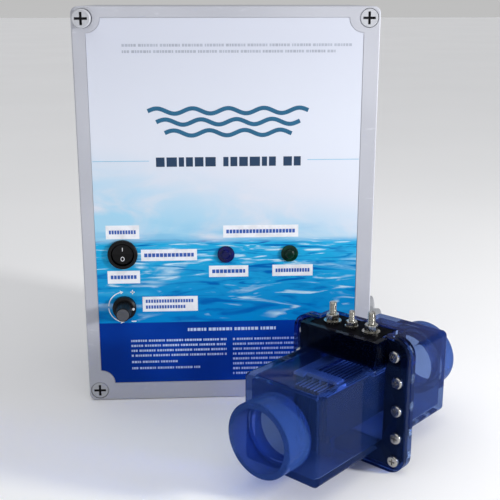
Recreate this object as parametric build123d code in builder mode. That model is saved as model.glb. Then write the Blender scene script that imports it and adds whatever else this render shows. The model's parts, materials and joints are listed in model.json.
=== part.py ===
"""Salt chlorine generator: a wall-mounted control box and its electrolysis cell.

Millimetres, +Z up. The origin is the middle of the control box's bottom face. The box front faces -Y
and its wall side faces +Y. The cell stands in front of the box, with its pipe axis turned 45 degrees.
"""

from build123d import *
import os
from math import cos, radians, sin

os.makedirs("parts", exist_ok=True)

# ---- control box ---------------------------------------------------------------------------------
CASE_WIDTH = 220
CASE_HEIGHT = 300
CASE_DEPTH = 120
CASE_MIDDLE = CASE_HEIGHT / 2
BACK_Y = CASE_DEPTH / 2
FRONT_Y = -CASE_DEPTH / 2
RIM_Y = -32
PARTING_GAP = 0.3
LID_REAR_Y = RIM_Y - PARTING_GAP
WALL = 3
CORNER_RADIUS = 5
SMALL_RADIUS = 1
BACK_FILLET = 2
RIM_WALL = 6
RIM_DEPTH = 6
GROOVE_OUTER = 1.6
GROOVE_INNER = 3.8
GROOVE_DEPTH = 4
GASKET_THICKNESS = 2.2
TONGUE_SIDE_GAP = 0.3
TONGUE_HEIGHT = 1.7
PILLAR_SIZE = 17
PILLAR_BORE = 4.2
FIXING_SPACING_X = 164
FIXING_SPACING_Z = 260
FIXING_RADIUS = 2.75

# ---- quarter-turn lid screws ---------------------------------------------------------------------
SCREW_INSET = 8.2
SCREW_HEAD_RADIUS = 6.65
SCREW_HEAD_HEIGHT = 5.5
SCREW_WELL_RADIUS = 6.95
SCREW_WELL_DEPTH = 7
SCREW_SHANK_RADIUS = 3
SCREW_LENGTH = 46
SCREW_LUG = (7.2, 3, 5)
SCREW_SLOT = (9, 1.8)
SCREW_SLOT_DEPTH = 2.6
SCREW_HEAD_CHAMFER = 0.6
SCREW_HOLE_RADIUS = 3.4
RING_RADIUS = 5
RING_THICKNESS = 1.1
RING_BORE = 3.05
RING_GAP = 0.1
POPPED_OUT = 9
SCREW_X = CASE_WIDTH / 2 - SCREW_INSET
SCREW_LOW_Z = SCREW_INSET
SCREW_HIGH_Z = CASE_HEIGHT - SCREW_INSET

# ---- front label ---------------------------------------------------------------------------------
LABEL_LEFT = -100
LABEL_RIGHT = 98
LABEL_LOW = 14.5
LABEL_HIGH = 292
LABEL_CORNER_CUT = 10.5
LABEL_THICKNESS = 0.4
LABEL_RECESS = 0.6
LABEL_MARGIN = 0.3
PANEL_Y = FRONT_Y + LABEL_RECESS - LABEL_THICKNESS
LID_INNER_Y = FRONT_Y + WALL

# ---- rocker switch -------------------------------------------------------------------------------
ROCKER_X = -80
ROCKER_Z = 119
ROCKER_PIVOT_Y = -58.2
ROCKER_TILT = 10
BEZEL_RADIUS = 11.25
BEZEL_HEIGHT = 2.4
BARREL_RADIUS = 9.9
BARREL_REAR_Y = -41
ROCKER_OPENING = 8.7
PADDLE_RADIUS = 8.4
PADDLE_CROWN = 3.1
PADDLE_VEE = 1.3
PADDLE_BACK = 3.4
PLUNGER_RADIUS = 1.5
PLUNGER_LENGTH = 3.6
PIN_RADIUS = 1.2
PIN_HOLE_RADIUS = 1.25
PIN_REACH = 9.4
PIN_HOLE_REACH = 9.5
LEVER_Y = -48.5
TAB_PITCH = 5
TAB_SIZE = (4.8, 0.8)
TAB_END_Y = -31
TAB_ROOT = 4
BARREL_FLOOR = 2
BARREL_POCKET = (11, 14.4)
BARREL_POCKET_DEPTH = 7
BEZEL_FILLET = 0.9
LEVER_SIZE = (4, 11)
LEVER_THICKNESS = 0.8
LEVER_PIVOT_RADIUS = 0.7
LEVER_PIVOT_REACH = 2.6

# ---- output knob and its potentiometer -----------------------------------------------------------
KNOB_X = -80
KNOB_Z = 77
SHAFT_RADIUS = 3
SHAFT_BORE = 3.05
SHAFT_FRONT_Y = -76
BUSH_RADIUS = 3.5
BUSH_FRONT_Y = -63.3
POT_RADIUS = 8.2
POT_DEPTH = 9
SKIRT_RADIUS = 9
SKIRT_GAP = 0.6
SKIRT_HEIGHT = 5
GRIP_RADIUS = 6.1
GRIP_TOP_RADIUS = 5.3
GRIP_HEIGHT = 13
GRIP_FLUTES = 18
FLUTE_RADIUS = 0.45
KNOB_CAVITY_RADIUS = 7.6
POINTER_RADIUS = 1.0
POINTER_DEPTH = 0.5
POINTER_OFFSET = GRIP_RADIUS + POINTER_RADIUS - 0.1
SKIRT_CHAMFER = 1.4
KNOB_CAVITY_DEPTH = 3.4
CAP_THICKNESS = 0.8
CAP_RADIUS = GRIP_TOP_RADIUS - 0.7
POT_COVER = 1.5
POT_CAVITY_DEPTH = 5
POT_TERMINAL = (1.6, 7)
POT_TERMINAL_PITCH = 5
POT_TERMINAL_THICKNESS = 0.8
WIPER_RADIUS = POT_RADIUS - 1.6
WIPER_THICKNESS = 1.6
PANEL_NUT_HALF = 5
PANEL_NUT_THICKNESS = 2
PANEL_WASHER_THICKNESS = 0.5
PANEL_WASHER_RADIUS = BUSH_RADIUS + 2.8

# ---- indicator lamps -----------------------------------------------------------------------------
LAMP_Z = 118
LAMP_X = {"blue": -2, "green": 46.5}
LAMP_FLANGE_RADIUS = 6.5
LAMP_DOME_RADIUS = 3.7
LAMP_BODY_RADIUS = 5
LAMP_BODY_REAR_Y = -38
LAMP_BODY_FLOOR = 2
LAMP_FLANGE_HEIGHT = 1.5
LAMP_DOME_HEIGHT = 2
LENS_PLUG_LENGTH = 5
LENS_PLUG_RADIUS = LAMP_BODY_RADIUS - 0.8
LED_RADIUS = 2.5
LED_GAP = 0.2
LED_LENGTH = 18.5
LED_WELL_DEPTH = 5.6
LAMP_PIN = (0.8, 2.8)
LAMP_PIN_PITCH = 5
LAMP_PIN_LENGTH = 6
LAMP_NUT_HALF = 6.5
LAMP_NUT_THICKNESS = 3

# ---- cable glands on the right side wall -----------------------------------------------------------
GLAND_Z = 38
GLAND_Y = {"mains": 2, "cell": 36}
GLAND_THREAD_RADIUS = 10
GLAND_HEX = 24
GLAND_BORE = 6.5
SEAL_BORE = 4.5
SEAL_RADIUS = 8
SEAL_LENGTH = 11
GLAND_HEX_LENGTH = 5
LOCKNUT_LENGTH = 4.5
INSIDE_THREAD = 6
OUTSIDE_THREAD = 8
DOME_NUT_GAP = 0.5
DOME_NUT_HEX_LENGTH = 10
DOME_STEP = 1
DOME_LENGTH = 5
DOME_FILLET = 1.4

# ---- circuit parts -------------------------------------------------------------------------------
FLOOR_Y = BACK_Y - WALL
BOARD_X = -42
BOARD_Z = 112
BOARD_WIDTH = 104
BOARD_HEIGHT = 112
BOARD_THICKNESS = 1.6
BOARD_STANDOFF = 12
BOARD_REAR_Y = FLOOR_Y - BOARD_STANDOFF
BOARD_FRONT_Y = BOARD_REAR_Y - BOARD_THICKNESS
BOARD_HOLE_X = 94
BOARD_HOLE_Z = 102
M3_RADIUS = 1.5
M3_HEAD_RADIUS = 2.8
M3_HEAD_HEIGHT = 2
M3_LENGTH = 8
BOARD_CORNER = 2
STANDOFF_HALF = 2.75
RELAY_SIZE = (29, 13)
RELAY_HEIGHT = 16
RELAY_SPOT = (-26, 34)
RELAY_PITCH = 17
CAPACITOR_RADIUS = 9
CAPACITOR_HEIGHT = 30
CAPACITOR_SPOT = (20, 34)
CAPACITOR_PITCH = 21
TERMINAL_SIZE = (36, 12)
TERMINAL_HEIGHT = 13
TERMINAL_SPOT = (0, -40)
TERMINAL_PITCH = 44
TERMINAL_WAYS = 5
TERMINAL_SCREW_PITCH = 7
TERMINAL_SCREW_RADIUS = 2
TERMINAL_SCREW_DEPTH = 2
FUSE_SPOT = (22, -8)
FUSE_HEIGHT = 7
FUSE_RADIUS = 2.6
FUSE_HALF_LENGTH = 10
CLIP_SIZE = (5, 8)
CLIP_HEIGHT = 9
CLIP_PITCH = 17
CLIP_MOUTH = 4
SINK_X = -42
SINK_Z = 226
SINK_WIDTH = 90
SINK_HEIGHT = 76
SINK_BASE = 5
SINK_FIN_HEIGHT = 22
FIN_COUNT = 5
FIN_PITCH = 5.4
FIN_THICKNESS = 1.6
FIN_BANK_INSET = 12
RECTIFIER_SIZE = 28
RECTIFIER_HEIGHT = 9
RECTIFIER_PIN = (6.3, 0.8)
RECTIFIER_PIN_SPACING = 18
RECTIFIER_PIN_LENGTH = 8
RECTIFIER_SCREW_RADIUS = 2
RECTIFIER_SCREW_HEAD = 4
RECTIFIER_HEAD_HEIGHT = 3
TRANSFORMER_X = 58
TRANSFORMER_Z = 130
CORE_WIDTH = 66
CORE_HEIGHT = 55
CORE_STACK = 36
CORE_LEG = 11
CORE_GAP = 9
CORE_BOLT_RADIUS = 2
CORE_NUT_HALF = 3.5
CORE_NUT_HEIGHT = 3
CORE_FOOT_RADIUS = 4.5
BOBBIN_WALL = 1.5
PRIMARY_DEPTH = 5
SECONDARY_DEPTH = 8
WINDING_END_GAP = 2

# ---- electrolysis cell -----------------------------------------------------------------------------
CELL_X = 80
CELL_Y = -155
CELL_TURN = 45
BODY_WIDTH = 60
BODY_LOW = 14.6
BODY_HIGH = 76.6
BODY_HEIGHT = BODY_HIGH - BODY_LOW
BODY_END = 75.5
AXIS_Z = (BODY_LOW + BODY_HIGH) / 2
CELL_WALL = 4
CELL_END_FILLET = 2
CELL_INNER_CORNER = 2
SPIGOT_FILLET = 1.2
SPIGOT_RADIUS = 25
SPIGOT_LENGTH = 21
SPIGOT_BORE = 19
SPIGOT_COUNTERBORE = 21
SPIGOT_COUNTERBORE_DEPTH = 14
FLANGE_SIZE = 94
FLANGE_TOP = 94.5
FLANGE_CORNER = 12
FLANGE_PLATE = 3.6
SEAL_HALF = 0.65
FLANGE_FACE = SEAL_HALF + FLANGE_PLATE
TURRET_WIDTH = 62
TURRET_HALF_DEPTH = 17.3
TURRET_TOP = 94
HEAD_WIDTH = 54
HEAD_HALF_DEPTH = 13.3
HEAD_LOW = 72.6
HEAD_GAP = 0.2
HEAD_DROP = 0.4
HEAD_CHAMFER = 0.8
HEAD_TOP = TURRET_TOP - HEAD_DROP
HEAD_OPENING_HEIGHT = 30
PLATE_COUNT = 9
PLATE_PITCH = 3
PLATE_THICKNESS = 1
PLATE_HALF_LENGTH = 45
PLATE_LOW = 29
PLATE_HIGH = 61.5
TAB_HIGH = 64
TAB_MIDDLE = 30
TAB_HALF_LENGTH = 5
STRIP_THICKNESS = 2
STRIP_WIDTH = 8
COMB_HALF_WIDTH = 14
COMB_LENGTH = 4
COMB_Y = 40
COMB_BITE = 4
STUD_SPACING = 15.7
STUD_Y = -1.5
STUD_RADIUS = 2.5
STUD_ROOT_RADIUS = 2.3
STUD_TOP = 108
SENSOR_RADIUS = 2
SENSOR_ROOT_RADIUS = 1.8
SENSOR_LOW = 80
SENSOR_TOP = 105
STUD_CHAMFER = 0.6
STUDS = ((-STUD_SPACING, STUD_ROOT_RADIUS), (0, SENSOR_ROOT_RADIUS), (STUD_SPACING, STUD_ROOT_RADIUS))
STUD_NUT_HALF = 4
STUD_NUT_HEIGHT = 4.7
SENSOR_NUT_HALF = 3.5
SENSOR_NUT_HEIGHT = 3.2
WASHER_RADIUS = 6
SENSOR_WASHER_RADIUS = 4.5
WASHER_THICKNESS = 1.2
NUT_BASE_Z = HEAD_TOP + WASHER_THICKNESS
THREAD_GAP = 0.6
FLANGE_SCREW_SPOTS = ((36.8, 83), (39.7, 65.7), (40, 45.9), (40.4, 26.5), (39.4, 9.5))
FLANGE_SCREW_RADIUS = 1.95
FLANGE_HOLE_RADIUS = 2.15
FLANGE_SCREW_HEAD = 4
FLANGE_SCREW_REACH = 9
FLANGE_HEAD_HEIGHT = 2.6
FLANGE_HEAD_FILLET = 1.2
RECESS_SIZE = (4.4, 0.9)
RECESS_DEPTH = 1.4
FLANGE_NUT_HALF = 3.5
FLANGE_NUT_HEIGHT = 3.2
GASKET_INSET = 3


def save(piece, name):
    """Labels a finished piece and writes it as its own file."""
    piece.part.label = name
    export_step(piece.part, f"parts/{name}.step")


def facing(y):
    """The upright plane at depth y: sketch x is +X, sketch y is +Z, and it grows towards the front."""
    return Plane.XZ.offset(-y)


def sideways(x, y, z):
    """A plane on the right side wall that grows outwards, +X."""
    return Plane(origin=(x, y, z), x_dir=(0, 1, 0), z_dir=(1, 0, 0))


def case_outline(inset):
    """The case's rounded outline, drawn inwards by inset."""
    radius = max(CORNER_RADIUS - inset, SMALL_RADIUS)
    with Locations((0, CASE_MIDDLE)):
        RectangleRounded(CASE_WIDTH - 2 * inset, CASE_HEIGHT - 2 * inset, radius)


def case_ring(outer_inset, inner_inset):
    """A closed band that follows the case's outline."""
    with Locations((0, CASE_MIDDLE)):
        outer_radius = max(CORNER_RADIUS - outer_inset, SMALL_RADIUS)
        inner_radius = max(CORNER_RADIUS - inner_inset, SMALL_RADIUS)
        RectangleRounded(CASE_WIDTH - 2 * outer_inset, CASE_HEIGHT - 2 * outer_inset, outer_radius)
        RectangleRounded(
            CASE_WIDTH - 2 * inner_inset, CASE_HEIGHT - 2 * inner_inset, inner_radius, mode=Mode.SUBTRACT
        )


def corner_spots(inset):
    """The four corner points of the case, inset from both edges."""
    right = CASE_WIDTH / 2 - inset
    return [(x, z) for x in (-right, right) for z in (inset, CASE_HEIGHT - inset)]


# ==== enclosure =====================================================================================
PILLAR_INSET = WALL + (PILLAR_SIZE - WALL) / 2

with BuildPart() as enclosure_base:
    with BuildSketch(facing(BACK_Y)):
        case_outline(0)
    extrude(amount=BACK_Y - RIM_Y)
    fillet(enclosure_base.faces().sort_by(Axis.Y)[-1].edges(), radius=BACK_FILLET)
    with BuildSketch(facing(FLOOR_Y)):
        case_outline(WALL)
    extrude(amount=FLOOR_Y - RIM_Y - RIM_DEPTH, mode=Mode.SUBTRACT)
    with BuildSketch(facing(RIM_Y + RIM_DEPTH)):
        case_outline(RIM_WALL)
    extrude(amount=RIM_DEPTH, mode=Mode.SUBTRACT)
    with BuildSketch(facing(FLOOR_Y)):
        with Locations(*corner_spots(PILLAR_INSET)):
            Rectangle(PILLAR_SIZE - WALL, PILLAR_SIZE - WALL)
    extrude(amount=FLOOR_Y - RIM_Y)
    with BuildSketch(facing(RIM_Y)):
        case_ring(GROOVE_OUTER, GROOVE_INNER)
    extrude(amount=-GROOVE_DEPTH, mode=Mode.SUBTRACT)
    with BuildSketch(facing(RIM_Y)):
        with Locations(*corner_spots(SCREW_INSET)):
            Circle(PILLAR_BORE)
    extrude(amount=-SCREW_LENGTH, mode=Mode.SUBTRACT)
    with BuildSketch(facing(BACK_Y)):
        with Locations((0, CASE_MIDDLE)):
            with GridLocations(FIXING_SPACING_X, FIXING_SPACING_Z, 2, 2):
                Circle(FIXING_RADIUS)
    extrude(amount=WALL, mode=Mode.SUBTRACT)
    with BuildSketch(sideways(CASE_WIDTH / 2, 0, 0)):
        with Locations(*[(y, GLAND_Z) for y in GLAND_Y.values()]):
            Circle(GLAND_THREAD_RADIUS)
    extrude(amount=-WALL, mode=Mode.SUBTRACT)
save(enclosure_base, "enclosure_base")

with BuildPart() as enclosure_gasket:
    with BuildSketch(facing(RIM_Y + GROOVE_DEPTH)):
        case_ring(GROOVE_OUTER, GROOVE_INNER)
    extrude(amount=GASKET_THICKNESS)
save(enclosure_gasket, "enclosure_gasket")


def label_outline(margin):
    """The label's outline: a rectangle with a round bite out of each corner, to clear the lid screws."""
    with Locations(((LABEL_LEFT + LABEL_RIGHT) / 2, (LABEL_LOW + LABEL_HIGH) / 2)):
        Rectangle(LABEL_RIGHT - LABEL_LEFT + 2 * margin, LABEL_HIGH - LABEL_LOW + 2 * margin)
    with Locations(*[(x, z) for x in (LABEL_LEFT, LABEL_RIGHT) for z in (LABEL_LOW, LABEL_HIGH)]):
        Circle(LABEL_CORNER_CUT - margin, mode=Mode.SUBTRACT)


def device_holes():
    """The round panel holes for the switch, the knob's bush and the two lamps."""
    with Locations((ROCKER_X, ROCKER_Z)):
        Circle(BARREL_RADIUS)
    with Locations((KNOB_X, KNOB_Z)):
        Circle(BUSH_RADIUS)
    with Locations(*[(x, LAMP_Z) for x in LAMP_X.values()]):
        Circle(LAMP_BODY_RADIUS)


with BuildPart() as enclosure_lid:
    with BuildSketch(facing(LID_REAR_Y)):
        case_outline(0)
    extrude(amount=LID_REAR_Y - FRONT_Y)
    fillet(enclosure_lid.faces().sort_by(Axis.Y)[0].edges(), radius=SMALL_RADIUS)
    with BuildSketch(facing(LID_REAR_Y - RIM_DEPTH)):
        case_outline(WALL)
    extrude(amount=LID_REAR_Y - RIM_DEPTH - LID_INNER_Y, mode=Mode.SUBTRACT)
    with BuildSketch(facing(LID_REAR_Y)):
        case_outline(RIM_WALL)
    extrude(amount=RIM_DEPTH, mode=Mode.SUBTRACT)
    with BuildSketch(facing(LID_REAR_Y)):
        with Locations(*corner_spots(PILLAR_INSET)):
            Rectangle(PILLAR_SIZE - WALL, PILLAR_SIZE - WALL)
    extrude(amount=LID_REAR_Y - LID_INNER_Y)
    with BuildSketch(facing(LID_REAR_Y)):
        case_ring(GROOVE_OUTER + TONGUE_SIDE_GAP, GROOVE_INNER - TONGUE_SIDE_GAP)
    extrude(amount=-TONGUE_HEIGHT)
    with BuildSketch(facing(FRONT_Y)):
        label_outline(LABEL_MARGIN)
    extrude(amount=-LABEL_RECESS, mode=Mode.SUBTRACT)
    with BuildSketch(facing(FRONT_Y)):
        device_holes()
        with Locations(*corner_spots(SCREW_INSET)):
            Circle(SCREW_HOLE_RADIUS)
    extrude(amount=-(LID_REAR_Y - FRONT_Y), mode=Mode.SUBTRACT)
    with BuildSketch(facing(FRONT_Y)):
        with Locations(*corner_spots(SCREW_INSET)):
            Circle(SCREW_WELL_RADIUS)
    extrude(amount=-SCREW_WELL_DEPTH, mode=Mode.SUBTRACT)
save(enclosure_lid, "enclosure_lid")

with BuildPart() as front_label:
    with BuildSketch(facing(PANEL_Y + LABEL_THICKNESS)):
        label_outline(0)
    extrude(amount=LABEL_THICKNESS)
    with BuildSketch(facing(PANEL_Y + LABEL_THICKNESS)):
        device_holes()
    extrude(amount=LABEL_THICKNESS, mode=Mode.SUBTRACT)
save(front_label, "front_label")


# ==== lid screws ====================================================================================
def lid_screw(x, z, proud):
    """A quarter-turn screw: slotted head, shank and cross lug, standing proud of the lid by proud."""
    head_y = FRONT_Y - proud
    shank_y = head_y + SCREW_HEAD_HEIGHT
    tip_y = head_y + SCREW_LENGTH
    with BuildPart() as screw:
        with BuildSketch(facing(shank_y)):
            with Locations((x, z)):
                Circle(SCREW_HEAD_RADIUS)
        extrude(amount=SCREW_HEAD_HEIGHT)
        chamfer(screw.faces().sort_by(Axis.Y)[0].edges(), length=SCREW_HEAD_CHAMFER)
        with BuildSketch(facing(tip_y)):
            with Locations((x, z)):
                Circle(SCREW_SHANK_RADIUS)
        extrude(amount=tip_y - shank_y)
        with BuildSketch(facing(tip_y - SCREW_LUG[1])):
            with Locations((x, z)):
                Rectangle(SCREW_LUG[0], SCREW_LUG[1])
        extrude(amount=SCREW_LUG[2])
        with BuildSketch(facing(head_y)):
            with Locations((x, z)):
                Rectangle(*SCREW_SLOT)
                Rectangle(*reversed(SCREW_SLOT))
        extrude(amount=-SCREW_SLOT_DEPTH, mode=Mode.SUBTRACT)
    return screw


LID_SCREWS = {
    "lid_screw_top_left": (-SCREW_X, SCREW_HIGH_Z, POPPED_OUT),
    "lid_screw_top_right": (SCREW_X, SCREW_HIGH_Z, 0),
    "lid_screw_bottom_left": (-SCREW_X, SCREW_LOW_Z, 0),
    "lid_screw_bottom_right": (SCREW_X, SCREW_LOW_Z, 0),
}
for screw_name, (screw_x, screw_z, screw_proud) in LID_SCREWS.items():
    save(lid_screw(screw_x, screw_z, screw_proud), screw_name)

RING_FRONT_Y = FRONT_Y + SCREW_HEAD_HEIGHT + RING_GAP


def seal_rings(spots, y):
    """The O-rings under the screw heads, their front faces at depth y."""
    with BuildPart() as rings:
        with BuildSketch(facing(y + RING_THICKNESS)):
            with Locations(*spots):
                Circle(RING_RADIUS)
                Circle(RING_BORE, mode=Mode.SUBTRACT)
        extrude(amount=RING_THICKNESS)
    return rings


flush_spots = [(x, z) for x, z, proud in LID_SCREWS.values() if proud == 0]
save(seal_rings(flush_spots, RING_FRONT_Y), "screw_seal_rings")
save(seal_rings([(-SCREW_X, SCREW_HIGH_Z)], RING_FRONT_Y - POPPED_OUT), "screw_seal_ring_top_left")


# ==== rocker switch =================================================================================
with BuildPart() as rocker_housing:
    with BuildSketch(facing(PANEL_Y)):
        with Locations((ROCKER_X, ROCKER_Z)):
            Circle(BEZEL_RADIUS)
    extrude(amount=BEZEL_HEIGHT)
    fillet(rocker_housing.faces().sort_by(Axis.Y)[0].edges(), radius=BEZEL_FILLET)
    with BuildSketch(facing(BARREL_REAR_Y)):
        with Locations((ROCKER_X, ROCKER_Z)):
            Circle(BARREL_RADIUS)
    extrude(amount=BARREL_REAR_Y - PANEL_Y)
    with BuildSketch(facing(BARREL_REAR_Y - BARREL_FLOOR)):
        with Locations((ROCKER_X, ROCKER_Z)):
            Rectangle(*BARREL_POCKET)
    extrude(amount=BARREL_POCKET_DEPTH, mode=Mode.SUBTRACT)
    with BuildSketch(facing(BARREL_REAR_Y - BARREL_FLOOR - BARREL_POCKET_DEPTH)):
        with Locations((ROCKER_X, ROCKER_Z)):
            Circle(ROCKER_OPENING)
    extrude(amount=BARREL_REAR_Y - PANEL_Y, mode=Mode.SUBTRACT)
    with BuildSketch(facing(BARREL_REAR_Y)):
        with Locations((ROCKER_X, ROCKER_Z)):
            with GridLocations(0, TAB_PITCH, 1, 3):
                Rectangle(*TAB_SIZE)
    extrude(amount=BARREL_FLOOR, mode=Mode.SUBTRACT)
    with BuildSketch(sideways(ROCKER_X, ROCKER_PIVOT_Y, ROCKER_Z)):
        Circle(PIN_HOLE_RADIUS)
    extrude(amount=PIN_HOLE_REACH, both=True, mode=Mode.SUBTRACT)
save(rocker_housing, "rocker_housing")

# The paddle is a ball cut by a shallow vee in front, so that it turns freely in its round opening.
tilt = radians(ROCKER_TILT)
paddle_plane = Plane(
    origin=(ROCKER_X, ROCKER_PIVOT_Y, ROCKER_Z), x_dir=(1, 0, 0), z_dir=(0, -cos(tilt), sin(tilt))
)
paddle_side = Plane(
    origin=(ROCKER_X, ROCKER_PIVOT_Y, ROCKER_Z), x_dir=(0, cos(tilt), -sin(tilt)), z_dir=(1, 0, 0)
)

with BuildPart() as rocker_paddle:
    with Locations((ROCKER_X, ROCKER_PIVOT_Y, ROCKER_Z)):
        Sphere(PADDLE_RADIUS)
    with BuildSketch(paddle_side.offset(-PADDLE_RADIUS)):
        with BuildLine():
            Polyline(
                (PADDLE_BACK, -PADDLE_RADIUS),
                (PADDLE_BACK, PADDLE_RADIUS),
                (-PADDLE_CROWN - PADDLE_VEE, PADDLE_RADIUS),
                (-PADDLE_CROWN, 0),
                (-PADDLE_CROWN - PADDLE_VEE, -PADDLE_RADIUS),
                close=True,
            )
        make_face()
    extrude(amount=2 * PADDLE_RADIUS, mode=Mode.INTERSECT)
    with BuildSketch(sideways(ROCKER_X, ROCKER_PIVOT_Y, ROCKER_Z)):
        Circle(PIN_RADIUS)
    extrude(amount=PIN_REACH, both=True)
    with BuildSketch(paddle_plane.offset(-PADDLE_BACK)):
        Circle(PLUNGER_RADIUS)
    extrude(amount=-PLUNGER_LENGTH)
save(rocker_paddle, "rocker_paddle")

with BuildPart() as rocker_contact:
    with BuildSketch(facing(LEVER_Y + LEVER_THICKNESS / 2)):
        with Locations((ROCKER_X, ROCKER_Z)):
            Rectangle(*LEVER_SIZE)
    extrude(amount=LEVER_THICKNESS)
    with BuildSketch(sideways(ROCKER_X, LEVER_Y, ROCKER_Z)):
        Circle(LEVER_PIVOT_RADIUS)
    extrude(amount=LEVER_PIVOT_REACH, both=True)
save(rocker_contact, "rocker_contact")

with BuildPart() as rocker_terminals:
    with BuildSketch(facing(TAB_END_Y)):
        with Locations((ROCKER_X, ROCKER_Z)):
            with GridLocations(0, TAB_PITCH, 1, 3):
                Rectangle(*TAB_SIZE)
    extrude(amount=TAB_END_Y - BARREL_REAR_Y + TAB_ROOT)
save(rocker_terminals, "rocker_terminals")


# ==== output knob and potentiometer =================================================================
def knob_circle(y, radius, length, mode=Mode.ADD):
    """A cylinder on the knob's axis, from depth y forwards by length."""
    with BuildSketch(facing(y)) as disc:
        with Locations((KNOB_X, KNOB_Z)):
            Circle(radius)
    extrude(disc.sketch, amount=length, mode=mode)


POT_REAR_Y = LID_INNER_Y + POT_DEPTH
WIPER_REAR_Y = POT_REAR_Y - POT_COVER

with BuildPart() as potentiometer_body:
    knob_circle(POT_REAR_Y, POT_RADIUS, POT_DEPTH)
    knob_circle(LID_INNER_Y, BUSH_RADIUS, LID_INNER_Y - BUSH_FRONT_Y)
    with BuildSketch(facing(POT_REAR_Y)):
        with Locations((KNOB_X, KNOB_Z - POT_RADIUS - 2)):
            with GridLocations(POT_TERMINAL_PITCH, 0, 3, 1):
                Rectangle(*POT_TERMINAL)
    extrude(amount=POT_TERMINAL_THICKNESS)
    knob_circle(WIPER_REAR_Y, POT_RADIUS - 1, POT_CAVITY_DEPTH, Mode.SUBTRACT)
    knob_circle(POT_REAR_Y, SHAFT_BORE, POT_REAR_Y - BUSH_FRONT_Y, Mode.SUBTRACT)
save(potentiometer_body, "potentiometer_body")

with BuildPart() as potentiometer_shaft:
    knob_circle(POT_REAR_Y, SHAFT_RADIUS, POT_REAR_Y - SHAFT_FRONT_Y)
    knob_circle(WIPER_REAR_Y - POT_COVER, WIPER_RADIUS, WIPER_THICKNESS)
save(potentiometer_shaft, "potentiometer_shaft")

with BuildPart() as potentiometer_nut:
    with BuildSketch(facing(PANEL_Y - PANEL_WASHER_THICKNESS)):
        with Locations((KNOB_X, KNOB_Z)):
            RegularPolygon(PANEL_NUT_HALF, 6, major_radius=False)
    extrude(amount=PANEL_NUT_THICKNESS)
    knob_circle(PANEL_Y, PANEL_WASHER_RADIUS, PANEL_WASHER_THICKNESS)
    knob_circle(PANEL_Y, BUSH_RADIUS, 2 * PANEL_NUT_THICKNESS, Mode.SUBTRACT)
save(potentiometer_nut, "potentiometer_nut")

SKIRT_REAR_Y = PANEL_Y - SKIRT_GAP
SKIRT_FRONT_Y = SKIRT_REAR_Y - SKIRT_HEIGHT
GRIP_FRONT_Y = SKIRT_FRONT_Y - GRIP_HEIGHT

with BuildPart() as knob:
    knob_circle(SKIRT_REAR_Y, SKIRT_RADIUS, SKIRT_HEIGHT)
    chamfer(knob.faces().sort_by(Axis.Y)[0].edges(), length=SKIRT_CHAMFER)
    with BuildSketch(facing(SKIRT_FRONT_Y)):
        with Locations((KNOB_X, KNOB_Z)):
            Circle(GRIP_RADIUS)
    with BuildSketch(facing(GRIP_FRONT_Y)):
        with Locations((KNOB_X, KNOB_Z)):
            Circle(GRIP_TOP_RADIUS)
    loft()
    fillet(knob.faces().sort_by(Axis.Y)[0].edges(), radius=0.4)
    with BuildSketch(facing(SKIRT_FRONT_Y)):
        with Locations((KNOB_X, KNOB_Z)):
            with PolarLocations(GRIP_RADIUS + 0.1, GRIP_FLUTES):
                Circle(FLUTE_RADIUS)
    extrude(amount=GRIP_HEIGHT - 2, mode=Mode.SUBTRACT)
    knob_circle(SKIRT_REAR_Y, KNOB_CAVITY_RADIUS, KNOB_CAVITY_DEPTH, Mode.SUBTRACT)
    knob_circle(SKIRT_REAR_Y, SHAFT_RADIUS, SKIRT_REAR_Y - SHAFT_FRONT_Y, Mode.SUBTRACT)
    knob_circle(GRIP_FRONT_Y + CAP_THICKNESS, CAP_RADIUS, CAP_THICKNESS, Mode.SUBTRACT)
    with BuildSketch(facing(SKIRT_FRONT_Y)):
        with Locations((KNOB_X + POINTER_OFFSET, KNOB_Z)):
            Circle(POINTER_RADIUS)
    extrude(amount=-POINTER_DEPTH, mode=Mode.SUBTRACT)
save(knob, "knob")

with BuildPart() as knob_cap:
    knob_circle(GRIP_FRONT_Y + CAP_THICKNESS, CAP_RADIUS, CAP_THICKNESS)
save(knob_cap, "knob_cap")

with BuildPart() as knob_pointer:
    with BuildSketch(facing(SKIRT_FRONT_Y + POINTER_DEPTH)):
        with Locations((KNOB_X + POINTER_OFFSET, KNOB_Z)):
            Circle(POINTER_RADIUS)
            with Locations((-POINTER_OFFSET, 0)):
                Circle(GRIP_RADIUS, mode=Mode.SUBTRACT)
    extrude(amount=POINTER_DEPTH)
save(knob_pointer, "knob_pointer")


# ==== indicator lamps ===============================================================================
def lamp_circle(x, y, radius, length, mode=Mode.ADD):
    """A cylinder on a lamp's axis, from depth y forwards by length."""
    with BuildSketch(facing(y)) as disc:
        with Locations((x, LAMP_Z)):
            Circle(radius)
    extrude(disc.sketch, amount=length, mode=mode)


LENS_REAR_Y = PANEL_Y + LENS_PLUG_LENGTH
LAMP_FLOOR_Y = LAMP_BODY_REAR_Y - LAMP_BODY_FLOOR


def lamp_lens(x):
    """A coloured lens: wide flange on the panel, round dome, and a hollow plug that holds the light."""
    with BuildPart() as lens:
        lamp_circle(x, PANEL_Y, LAMP_FLANGE_RADIUS, LAMP_FLANGE_HEIGHT)
        fillet(lens.faces().sort_by(Axis.Y)[0].edges(), radius=0.6)
        lamp_circle(x, PANEL_Y - LAMP_FLANGE_HEIGHT, LAMP_DOME_RADIUS, LAMP_DOME_HEIGHT)
        fillet(lens.faces().sort_by(Axis.Y)[0].edges(), radius=1.5)
        lamp_circle(x, LENS_REAR_Y, LENS_PLUG_RADIUS, LENS_PLUG_LENGTH)
        lamp_circle(x, LENS_REAR_Y, LED_RADIUS + LED_GAP, LED_WELL_DEPTH, Mode.SUBTRACT)
    return lens


for colour, lamp_x in LAMP_X.items():
    save(lamp_lens(lamp_x), f"lamp_lens_{colour}")

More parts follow.
